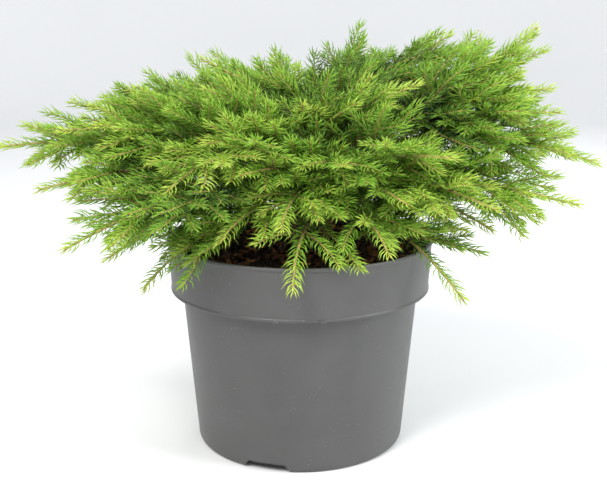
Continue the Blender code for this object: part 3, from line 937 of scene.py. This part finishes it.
def foliage_nodes():
    return [f"foliage_{name}" for name in LIMBS]


NEEDLE_FACES = np.array([
    (0, 1, 4), (0, 4, 3), (1, 2, 5), (1, 5, 4), (2, 0, 3), (2, 3, 5), (3, 4, 6), (4, 5, 6), (5, 3, 6),
])


def needle_verts(roots, ways, headings, lengths, width):
    """Three-sided needles: thin at the root, full at the middle, bent forward a little to a point."""
    first = units(np.cross(ways, headings))
    second = np.cross(ways, first)
    turn = (2.0 * math.pi * np.arange(3) / 3)[None, :, None]
    ring = first[:, None] * np.cos(turn) + second[:, None] * np.sin(turn)
    middles = roots + ways * (WIDEST_AT * lengths)[:, None]
    tips = roots + units(ways + BEND * headings) * lengths[:, None]
    low = roots[:, None] + ROOT_WIDTH * width / 2 * ring
    high = middles[:, None] + WIDEST * width / 2 * ring
    return np.concatenate([low, high, tips[:, None]], axis=1)


def dress(twig, sizes, rng):
    """One twig's needles, as vertices and how fresh each is. Low values near the trunk are partly painted
    shade deep in the crown.
    """
    spine = twig.spine
    span = spine.length - twig.bare
    count = max(6, int(span / sizes.needle_pitch))
    order = np.arange(count)
    marks = twig.bare + span * (order + rng.random(count)) / count
    roots, headings = spine.samples(marks)
    across, up = side_frames(headings)
    turn = GOLDEN * order + rng.uniform(-TURN_VARY, TURN_VARY, count)
    height = np.sin(turn)
    height = np.where(height < -0.15, 0.30 * height - 0.10, height)
    level = np.sign(np.cos(turn)) * np.sqrt(1.0 - height**2)
    out = across * level[:, None] + up * height[:, None]
    to_tip = spine.length - marks
    near = np.clip(to_tip / TUFT, 0.0, 1.0)
    lean = SIDE_LEAN + (TOP_LEAN - SIDE_LEAN) * np.clip(height, 0.0, 1.0)
    lean = TIP_LEAN + (lean - TIP_LEAN) * (0.25 + 0.75 * near) + rng.normal(0.0, LEAN_VARY, count)
    lean = np.radians(np.clip(lean, 8.0, 80.0))
    ways = headings * np.cos(lean)[:, None] + out * np.sin(lean)[:, None]
    lengths = sizes.needle_length * (0.72 + 0.28 * near) * rng.normal(1.0, LENGTH_VARY, count)
    lengths *= FINE_LENGTH if twig.rank == 2 else 1.0
    verts = needle_verts(roots, ways, headings, lengths, sizes.needle_width)
    foot, tip = twig.freshness_and_shade
    share = np.exp(-to_tip / FRESH_LENGTH)
    fresh = foot + (tip - foot) * share + rng.normal(0.0, FRESH_VARY, count)
    keep = ~needles_in_pot(verts[:, 6])
    return verts[keep], fresh[keep]


def needles_in_pot(tips):
    """Which needle tips lie in the pot or its soil, or touch them."""
    radius = np.hypot(tips[:, 0], tips[:, 1])
    inside = (tips[:, 2] < POT_HEIGHT + WALL_CLEAR) & (radius < RIM_RADIUS + RIM_CLEAR)
    in_wall = radius > inner_radius(SOIL_TOP) - WALL_CLEAR
    return inside & (in_wall | (tips[:, 2] < SOIL_TOP + SOIL_CLEAR))


def needle_shades(colours):
    """Plain base colours from the oldest needles to the freshest. The oldest are darker than such needles
    are, as painted shade deep in the crown.
    """
    shades = []
    for number in range(SHADES):
        share = 2.0 * number / (SHADES - 1)
        if share < 1.0:
            shades.append(between(colours.old, colours.grown, share))
        else:
            shades.append(between(colours.grown, colours.fresh, share - 1.0))
    return shades


class SPRUCE_OT_needles(bpy.types.Operator):
    """Makes the needles of every shoot, dealt out to plain shades by how fresh they are; near the trunk the
    dark shades are partly painted shade deep in the crown
    """

    bl_idname = "spruce.needles"
    bl_label = "Needles"

    def execute(self, context):
        sizes = context.scene.spruce_sizes
        rng = np.random.default_rng(SEED)
        _, twigs = grown()
        dressed = [dress(twig, sizes, rng) for twig in twigs]
        verts = np.concatenate([made[0] for made in dressed])
        fresh = np.concatenate([made[1] for made in dressed])
        # Low freshness gives the dark shades, which near the trunk are partly painted shade deep in the
        # crown.
        shade = np.clip((fresh * SHADES).astype(int), 0, SHADES - 1)
        for number, colour in enumerate(needle_shades(context.scene.spruce_colours)):
            mine = verts[shade == number]
            finish = needle_finish(number, colour)
            for part in range(math.ceil(len(mine) / MOST_NEEDLES)):
                some = mine[part * MOST_NEEDLES:(part + 1) * MOST_NEEDLES]
                name = f"needles_shade_{number + 1}_{part + 1}"
                mesh = plain_mesh(name, some.reshape(-1, 3), repeated(NEEDLE_FACES, len(some), 7))
                add_piece(name, mesh, finish, foliage_nodes())
        return {"FINISHED"}


def rough_tube(spine, radii, start, end, sides, rng):
    """A stretch of a twig as a tube with the small pegs that its needles stand on."""
    count = max(3, int((end - start) / TWIG_DETAIL) + 1)
    marks = np.linspace(start, end, count)
    points, _ = spine.samples(marks)
    thickness = radii[0] + (radii[1] - radii[0]) * marks / spine.length
    return tube(points, thickness, sides, rng.uniform(0.86, 1.16, (count, sides)))


class SPRUCE_OT_twigs(bpy.types.Operator):
    """Makes the bark of all twigs: older wood inside, this year's pale shoots outside"""

    bl_idname = "spruce.twigs"
    bl_label = "Twigs"

    def execute(self, context):
        colours = context.scene.spruce_colours
        rng = np.random.default_rng(SEED + 1)
        old, young, fine = Heap(), Heap(), Heap()
        for twig in grown()[1]:
            spine = twig.spine
            if twig.rank == 2:
                fine.add(*rough_tube(spine, twig.radii, 0.0, spine.length, 4, rng))
                continue
            old_share, sides = (0.62, 7) if twig.rank == 0 else (0.40, 5)
            change = spine.length * old_share
            old.add(*rough_tube(spine, twig.radii, 0.0, change + 0.0005, sides, rng))
            young.add(*rough_tube(spine, twig.radii, change, spine.length, sides, rng))
        pale = smooth_finish("young_bark", colours.shoot, 0.6, 0.006)
        wood = bark_finish("twig_bark", colours.twig, 0.0022)
        pieces = {"twigs_old": (old, wood), "twigs_young": (young, pale), "twigs_fine": (fine, pale)}
        for name, (heap, finish) in pieces.items():
            add_piece(name, heap.mesh(name), finish, foliage_nodes())
        return {"FINISHED"}


def egg(rings, sides):
    """A pointed egg from z 0 to 1 with a radius of 1 at its widest."""
    heights = np.linspace(0.0, 1.0, rings)
    widths = 1.9 * np.sqrt(heights + 0.05) * (1.0 - heights) ** 0.8
    turn = 2.0 * math.pi * np.arange(sides) / sides
    verts = np.stack([
        widths[:, None] * np.cos(turn), widths[:, None] * np.sin(turn), np.repeat(heights[:, None], sides, 1),
    ], -1)
    return verts.reshape(-1, 3), tube_faces(rings, sides)


# A papery scale's corners, as (turn round the shoot, distance from its middle, height along it).
SCALE_CORNERS = ((-0.5, 1.0, 0.0), (0.5, 1.0, 0.0), (0.0, 1.5, 0.55), (0.0, 2.1, 1.0))
SCALE_FACES = ((0, 1, 2), (0, 2, 3), (1, 3, 2))


def scale_ring(count):
    """A ring of pointed papery scales that stand out from a shoot along z."""
    verts = []
    faces = []
    for number in range(count):
        angle = 2.0 * math.pi * (number + 0.3 * (number % 2)) / count
        for turn, radius, height in SCALE_CORNERS:
            place = angle + turn
            verts.append((radius * math.cos(place), radius * math.sin(place), height))
        faces += [[4 * number + corner for corner in face] for face in SCALE_FACES]
    return np.array(verts), np.array(faces)


def along(headings, lengths, widths):
    """Matrices that stand a shape along each heading, with its own length and width."""
    across, up = side_frames(headings)
    return np.stack([across * widths[:, None], -up * widths[:, None], headings * lengths[:, None]], -1)


class SPRUCE_OT_buds(bpy.types.Operator):
    """Makes the buds on the tips and the papery scales at the foot of young shoots"""

    bl_idname = "spruce.buds"
    bl_label = "Buds and scales"

    def execute(self, context):
        colours = context.scene.spruce_colours
        size = context.scene.spruce_sizes.bud_length
        twigs = grown()[1]
        ends = [twig.spine.samples(np.array([twig.spine.length])) for twig in twigs]
        tips = np.concatenate([end[0] for end in ends])
        headings = np.concatenate([end[1] for end in ends])
        lengths = np.array([size * (1.0, 0.85, 0.62)[twig.rank] for twig in twigs])
        stood = along(headings, lengths, 0.22 * lengths)
        buds = plain_mesh("buds", *copies(*egg(4, 5), stood, tips - headings * 0.0006))
        finish = smooth_finish("bud_skin", colours.bud, 0.5, 0.003)
        add_piece("buds", buds, finish, foliage_nodes())
        feet = [twig for twig in twigs if twig.rank == 1]
        starts = [twig.spine.samples(np.array([0.0032])) for twig in feet]
        places = np.concatenate([start[0] for start in starts])
        headings = np.concatenate([start[1] for start in starts])
        lengths = np.full(len(feet), 0.8 * size)
        stood = along(headings, lengths, 0.30 * lengths)
        scales = plain_mesh("bud_scales", *copies(*scale_ring(6), stood, places))
        paper = smooth_finish("bud_scale", colours.scale, 0.7, 0.004)
        add_piece("bud_scales", scales, paper, foliage_nodes())
        return {"FINISHED"}


def bark_relief(points, sides, radii, flakes):
    """Scales of radius for bark. The flakes are given by their usual size and how far they stand out."""
    size, depth = flakes
    relief = np.ones((len(points), sides))
    for ring, point in enumerate(points):
        for side in range(sides):
            around = polar(radii[ring], 360.0 * side / sides)
            spot = Vector((around.x, around.y, 0.6 * ring * BARK_STEP)) / size + Vector(point) * 31.0
            rise = noise.noise(spot) + 0.5 * noise.noise(spot * 2.3)
            relief[ring, side] = 1.0 + depth * rise / radii[ring]
    return relief


def bark_tube(heap, points, radii, sides, flakes):
    heap.add(*tube(np.array(points), radii, sides, bark_relief(points, sides, radii, flakes)))


class SPRUCE_OT_trunk(bpy.types.Operator):
    """Makes the short leaning trunk with its root flare and flaky bark"""

    bl_idname = "spruce.trunk"
    bl_label = "Trunk"

    def execute(self, context):
        heap = Heap()
        last = TRUNK_RINGS - 1
        heights = [-BURIED + (TRUNK_LENGTH + BURIED) * i / last for i in range(TRUNK_RINGS)]
        points = [trunk_point(height) for height in heights]
        radii = [trunk_radius(max(height, 0.0)) for height in heights]
        radii[-1] *= 0.35
        bark_tube(heap, points, radii, TRUNK_SIDES, TRUNK_FLAKES)
        for number in range(ROOTS):
            angle = 360.0 * (number + 0.35) / ROOTS
            top = polar(0.25 * TRUNK_RADIUS, angle, SOIL_TOP + ROOT_RISE)
            foot = polar(ROOT_REACH, angle + 9.0, SOIL_TOP - BURIED)
            shares = [i / (ROOT_RINGS - 1) for i in range(ROOT_RINGS)]
            way = [top.lerp(foot, share) + UP * ROOT_ARCH * math.sin(math.pi * share) for share in shares]
            thickness = [ROOT_RADIUS * (1.0 - ROOT_TAPER * share) for share in shares]
            bark_tube(heap, way, thickness, ROOT_SIDES, ROOT_FLAKES)
        finish = bark_finish("trunk_bark", context.scene.spruce_colours.bark, 0.0032)
        add_piece("trunk_bark", heap.mesh("trunk_bark"), finish, ["trunk"])
        return {"FINISHED"}


class SPRUCE_OT_boughs(bpy.types.Operator):
    """Makes the bare boughs with their rough bark"""

    bl_idname = "spruce.boughs"
    bl_label = "Boughs"

    def execute(self, context):
        finish = bark_finish("bough_bark", context.scene.spruce_colours.bark, 0.0026)
        for limb in grown()[0]:
            if not limb.has_bough:
                continue
            bare = BOUGH_SHARE * limb.way.length + 2.0 * GAP
            last = int(bare / BARK_STEP) - 1
            points = [limb.way.at(bare * i / last) for i in range(last + 1)]
            radii = [BOUGH_RADIUS + (BOUGH_TIP_RADIUS - BOUGH_RADIUS) * i / last for i in range(last + 1)]
            heap = Heap()
            bark_tube(heap, points, radii, BOUGH_SIDES, BOUGH_FLAKES)
            name = f"bough_{limb.name}"
            add_piece(f"{name}_bark", heap.mesh(f"{name}_bark"), finish, [name])
        return {"FINISHED"}


def rounded(bends):
    """A turned outline. Each bend is (radius, height, how far from it the rounding starts)."""
    outline = [bends[0][:2]]
    for before, here, after in zip(bends, bends[1:], bends[2:]):
        spot = Vector(here[:2])
        start = spot + (Vector(before[:2]) - spot).normalized() * here[2]
        end = spot + (Vector(after[:2]) - spot).normalized() * here[2]
        for i in range(BEND_STEPS + 1):
            t = i / BEND_STEPS
            outline.append(tuple(start.lerp(spot, t).lerp(spot.lerp(end, t), t)))
    outline.append(bends[-1][:2])
    return outline


def pot_outline():
    """The pot's section: up the inside, over the rim's bead, down the band and the body to the foot."""
    levels = ((FLOOR, 0.003), (STEP - WALL, 0.0012), (STEP + WALL, 0.0012), (POT_HEIGHT, 0.0007))
    inside = [(0.0, FLOOR, 0.0)]
    inside += [(inner_radius(height), height, rounding) for height, rounding in levels]
    bead = RIM_RADIUS + BEAD
    rim = [(bead, POT_HEIGHT, 0.0008), (bead, POT_HEIGHT - 0.0026, 0.0006)]
    rim += [(RIM_RADIUS - BEAD, POT_HEIGHT - 0.0032, 0.0004)]
    foot = BAND_FOOT_RADIUS + BEAD
    band = [(BAND_FOOT_RADIUS, STEP + 0.0026, 0.0004), (foot, STEP + 0.0020, 0.0004), (foot, STEP, 0.0008)]
    body = [(BODY_TOP_RADIUS, STEP, 0.0010), (FOOT_RADIUS, 0.0, 0.0045), (0.0, 0.0, 0.0)]
    return rounded(inside + rim + band + body)


def notch_cutter(number):
    """A block narrower at its top, across the foot of the wall. Its lower half is below the pot."""
    mesh = bpy.data.meshes.new(f"notch_cutter_{number + 1}")
    block = bmesh.new()
    bmesh.ops.create_cube(block, size=1.0)
    for vert in block.verts:
        width = NOTCH_TOP_WIDTH if vert.co.z > 0 else 2.0 * NOTCH_WIDTH - NOTCH_TOP_WIDTH
        vert.co.x *= 2.0 * NOTCH_DEPTH
        vert.co.y *= width
        vert.co.z *= 2.0 * NOTCH_HEIGHT
    block.to_mesh(mesh)
    block.free()
    cutter = bpy.data.objects.new(mesh.name, mesh)
    bpy.context.scene.collection.objects.link(cutter)
    angle = NOTCH_FIRST_DEG + number * 360.0 / NOTCH_COUNT
    cutter.location = polar(FOOT_RADIUS, angle)
    cutter.rotation_euler.z = math.radians(angle)
    return cutter


def final_mesh(obj, name):
    """The object's mesh with its modifiers applied. The object itself is removed."""
    graph = bpy.context.evaluated_depsgraph_get()
    mesh = bpy.data.meshes.new_from_object(obj.evaluated_get(graph), depsgraph=graph)
    mesh.name = name
    bpy.data.objects.remove(obj, do_unlink=True)
    return mesh


class SPRUCE_OT_pot(bpy.types.Operator):
    """Makes the turned pot with its rim band, beads, rounded foot and drain notches"""

    bl_idname = "spruce.pot"
    bl_label = "Pot"

    def execute(self, context):
        points = [(radius, 0.0, height) for radius, height in pot_outline()]
        section = bpy.data.meshes.new("pot_section")
        section.from_pydata(points, [(i, i + 1) for i in range(len(points) - 1)], [])
        guide = bpy.data.objects.new("pot_section", section)
        context.scene.collection.objects.link(guide)
        screw = guide.modifiers.new("Turn", "SCREW")
        screw.steps = POT_STEPS
        screw.render_steps = POT_STEPS
        screw.use_merge_vertices = True
        screw.merge_threshold = 0.00002
        cutters = [notch_cutter(number) for number in range(NOTCH_COUNT)]
        for cutter in cutters:
            cut = guide.modifiers.new("Notch", "BOOLEAN")
            cut.operation = "DIFFERENCE"
            cut.object = cutter
        mesh = final_mesh(guide, "pot_shell")
        for cutter in cutters:
            bpy.data.objects.remove(cutter, do_unlink=True)
        mesh.shade_smooth()
        mesh.set_sharp_from_angle(angle=math.radians(SHARP_DEG))
        finish = pot_finish(context.scene.spruce_colours)
        add_piece("pot_shell", mesh, finish, ["pot"])
        add_piece("pot_nubs", nubs_mesh(), finish)
        return {"FINISHED"}


def nubs_mesh():
    """Two small mould marks under the front of the band."""
    shape = bmesh.new()
    for angle in NUBS_DEG:
        place = Matrix.Translation(polar(BAND_FOOT_RADIUS + BEAD, angle, STEP + 0.0006))
        turn = Matrix.Rotation(math.radians(angle), 4, "Z")
        size = Matrix.Diagonal((*NUB_SIZE, 1.0))
        bmesh.ops.create_cube(shape, size=1.0, matrix=place @ turn @ size)
    bmesh.ops.bevel(shape, geom=shape.edges, offset=0.0006, segments=3, affect="EDGES", profile=0.5)
    mesh = bpy.data.meshes.new("pot_nubs")
    shape.to_mesh(mesh)
    shape.free()
    mesh.shade_smooth()
    return mesh


def soil_height(x, y):
    """The mix's surface: heaps of a few millimetres with crumbs on them, level at the wall."""
    spot = Vector((x, y, 0.0))
    heaps = noise.noise(spot / 0.022) + 0.6 * noise.noise(spot / 0.009 + Vector((3.0, 0.0, 0.0)))
    crumbs = noise.noise(spot / 0.0032) + 0.6 * noise.noise(spot / 0.0016)
    return SOIL_TOP - SOIL_DIP + HEAP_HEIGHT * heaps + GRAIN_HEIGHT * crumbs


def soil_mesh():
    """The uneven surface of the mix, with an edge that goes down inside the wall."""
    edge = inner_radius(SOIL_TOP) - 0.0004
    radii = [edge * ((ring + 0.5) / SOIL_RINGS) ** 0.8 for ring in range(SOIL_RINGS)] + [edge, edge]
    turn = 2.0 * math.pi * np.arange(SOIL_SECTORS) / SOIL_SECTORS
    verts = []
    for ring, radius in enumerate(radii):
        for angle in turn:
            x, y = radius * math.cos(angle), radius * math.sin(angle)
            height = soil_height(x, y) if ring < len(radii) - 1 else SOIL_TOP - EDGE_DEPTH
            verts.append((x, y, height))
    verts.append((0.0, 0.0, soil_height(0.0, 0.0)))
    last = len(verts) - 1
    around = np.arange(SOIL_SECTORS)
    middle = np.stack([np.full(SOIL_SECTORS, last), around, (around + 1) % SOIL_SECTORS], -1)
    faces = np.concatenate([tube_faces(len(radii), SOIL_SECTORS)[:, ::-1], middle])
    return plain_mesh("soil_surface", np.array(verts), faces)


def turns(rng, count, tilt):
    """Random turns about Z with a tilt of up to about that many degrees."""
    made = []
    for _ in range(count):
        spin = Matrix.Rotation(rng.uniform(0.0, 2.0 * math.pi), 3, "Z")
        lean = Matrix.Rotation(math.radians(rng.normal(0.0, tilt)), 3, "X")
        roll = Matrix.Rotation(math.radians(rng.normal(0.0, tilt)), 3, "Y")
        made.append(np.array(spin @ lean @ roll))
    return np.array(made)


def soil_places(rng, count, margin, lift):
    """Places strewn over the mix, away from the trunk's foot."""
    places = []
    while len(places) < count:
        radius = (inner_radius(SOIL_TOP) - margin) * math.sqrt(rng.random())
        angle = rng.uniform(0.0, 360.0)
        if radius > TRUNK_ROOM:
            spot = polar(radius, angle)
            places.append((spot.x, spot.y, soil_height(spot.x, spot.y) + lift))
    return np.array(places)


def chip_shapes(rng, count, length):
    """Thin broken plates with six uneven corners, each with its own size."""
    turn = 2.0 * math.pi * (np.arange(6)[None] + rng.uniform(-0.3, 0.3, (count, 6))) / 6
    reach = rng.uniform(0.75, 1.15, (count, 6))
    long = 0.5 * length * rng.lognormal(0.0, 0.32, (count, 1))
    wide = long * rng.uniform(0.28, 0.62, (count, 1))
    x = long * reach * np.cos(turn)
    y = wide * reach * np.sin(turn)
    thick = 0.5 * wide * rng.uniform(0.25, 0.55, (count, 1))
    bow = 0.10 * (x**2) / long
    top = np.stack([0.88 * x, 0.88 * y, bow + thick * rng.uniform(0.8, 1.2, (count, 6))], -1)
    low = np.stack([x, y, bow - thick], -1)
    return np.concatenate([low, top], axis=1)


CHIP_FACES = np.concatenate([
    tube_faces(2, 6),
    np.array([(6, i, i + 1) for i in range(7, 11)] + [(0, i + 1, i) for i in range(1, 5)]),
])


def crumb_shape():
    """An icosahedron's corners and faces."""
    shape = bmesh.new()
    bmesh.ops.create_icosphere(shape, subdivisions=1, radius=1.0)
    verts = np.array([vert.co[:] for vert in shape.verts])
    faces = np.array([[vert.index for vert in face.verts] for face in shape.faces])
    shape.free()
    return verts, faces


class SPRUCE_OT_soil(bpy.types.Operator):
    """Makes the potting mix: a rough surface, crumbs of peat and chips of bark"""

    bl_idname = "spruce.soil"
    bl_label = "Potting mix"

    def execute(self, context):
        colours = context.scene.spruce_colours
        sizes = context.scene.spruce_sizes
        rng = np.random.default_rng(SEED + 2)
        peat = soil_finish(colours)
        add_piece("soil_surface", soil_mesh(), peat, ["soil"])
        crumb, crumb_faces = crumb_shape()
        scales = rng.lognormal(math.log(CRUMB_SIZE), CRUMB_SPREAD, (sizes.crumbs, 1, 1))
        shapes = crumb[None] * rng.uniform(0.65, 1.25, (sizes.crumbs, len(crumb), 1)) * scales
        places = soil_places(rng, sizes.crumbs, 0.0035, 0.0004)
        moved = copies(shapes, crumb_faces, turns(rng, sizes.crumbs, CRUMB_TILT), places)
        add_piece("soil_crumbs", plain_mesh("soil_crumbs", *moved), peat)
        for name, (share, brightness) in CHIP_KINDS.items():
            count = int(share * sizes.chips)
            shapes = chip_shapes(rng, count, sizes.chip_length)
            places = soil_places(rng, count, 0.008, 0.0012)
            mesh = plain_mesh(name, *copies(shapes, CHIP_FACES, turns(rng, count, CHIP_TILT), places))
            mesh.set_sharp_from_angle(angle=math.radians(CHIP_SHARP_DEG))
            add_piece(name, mesh, chip_finish(name, shaded(colours.chip, brightness)))
        return {"FINISHED"}


def soft_light(name, place, size, power, colour):
    """A round lamp that points at the middle of the plant."""
    light = bpy.data.lights.new(name, "AREA")
    light.shape = "DISK"
    light.size = size
    light.energy = power
    light.color = colour
    lamp = bpy.data.objects.new(name, light)
    lamp.location = place
    lamp.rotation_euler = (Vector(AIM) - Vector(place)).to_track_quat("-Z", "Y").to_euler()
    bpy.context.scene.collection.objects.link(lamp)


def studio_mesh():
    """A round pale floor that curves up into a wall all round, well outside every view's camera."""
    outline = [(0.01, 0.0), (0.8, 0.0), (FLAT_RADIUS, 0.0)]
    for i in range(1, CURVE_STEPS + 1):
        angle = 0.5 * math.pi * i / CURVE_STEPS
        outline.append((FLAT_RADIUS + CURVE * math.sin(angle), CURVE * (1.0 - math.cos(angle))))
    outline.append((FLAT_RADIUS + CURVE, WALL_TOP))
    turn = 2.0 * math.pi * np.arange(STUDIO_STEPS) / STUDIO_STEPS
    verts = [(r * math.cos(angle), r * math.sin(angle), z) for r, z in outline for angle in turn]
    faces = tube_faces(len(outline), STUDIO_STEPS)[:, ::-1]
    middle = np.array([(0, i, i + 1) for i in range(1, STUDIO_STEPS - 1)])
    return plain_mesh("studio_floor", np.array(verts), np.concatenate([faces, middle]))


class SPRUCE_OT_stage(bpy.types.Operator):
    """Makes the pale floor, the soft lights and the camera at the photograph's angle"""

    bl_idname = "spruce.stage"
    bl_label = "Stage"

    def execute(self, context):
        scene = context.scene
        mesh = studio_mesh()
        mesh.materials.append(floor_finish(scene.spruce_colours))
        floor = bpy.data.objects.new("studio_floor", mesh)
        scene.collection.objects.link(floor)
        world = bpy.data.worlds.new("studio_light")
        world.use_nodes = True
        sky = world.node_tree.nodes["Background"]
        sky.inputs["Color"].default_value = SKY_COLOUR
        sky.inputs["Strength"].default_value = SKY_STRENGTH
        scene.world = world
        for name, light in LIGHTS.items():
            soft_light(name, *light)
        lens = bpy.data.cameras.new("camera")
        lens.sensor_width = SENSOR_WIDTH
        lens.lens = FOCAL_LENGTH
        camera = bpy.data.objects.new("camera", lens)
        camera.location = CAMERA_PLACE
        camera.rotation_euler.x = math.radians(CAMERA_TILT_DEG)
        scene.collection.objects.link(camera)
        scene.camera = camera
        scene.view_settings.view_transform = "Standard"
        return {"FINISHED"}


class SPRUCE_PT_panel(bpy.types.Panel):
    """Lists the plant's pieces, sizes and colours"""

    bl_idname = "SPRUCE_PT_panel"
    bl_label = "Potted spruce"
    bl_space_type = "VIEW_3D"
    bl_region_type = "UI"
    bl_category = "Spruce"

    def draw(self, context):
        for step in STEPS:
            self.layout.operator(f"spruce.{step}")
        for group in (context.scene.spruce_sizes, context.scene.spruce_colours):
            box = self.layout.box()
            for name in group.__annotations__:
                box.prop(group, name)


STEPS = ("pot", "soil", "trunk", "boughs", "twigs", "buds", "needles", "stage")
CLASSES = (
    SpruceSizes,
    SpruceColours,
    SPRUCE_OT_pot,
    SPRUCE_OT_soil,
    SPRUCE_OT_trunk,
    SPRUCE_OT_boughs,
    SPRUCE_OT_twigs,
    SPRUCE_OT_buds,
    SPRUCE_OT_needles,
    SPRUCE_OT_stage,
    SPRUCE_PT_panel,
)


def register():
    for cls in CLASSES:
        bpy.utils.register_class(cls)
    bpy.types.Scene.spruce_sizes = PointerProperty(type=SpruceSizes)
    bpy.types.Scene.spruce_colours = PointerProperty(type=SpruceColours)


def unregister():
    del bpy.types.Scene.spruce_colours
    del bpy.types.Scene.spruce_sizes
    for cls in reversed(CLASSES):
        bpy.utils.unregister_class(cls)


def main():
    register()
    for step in STEPS:
        getattr(bpy.ops.spruce, step)()


if __name__ == "__main__":
    main()
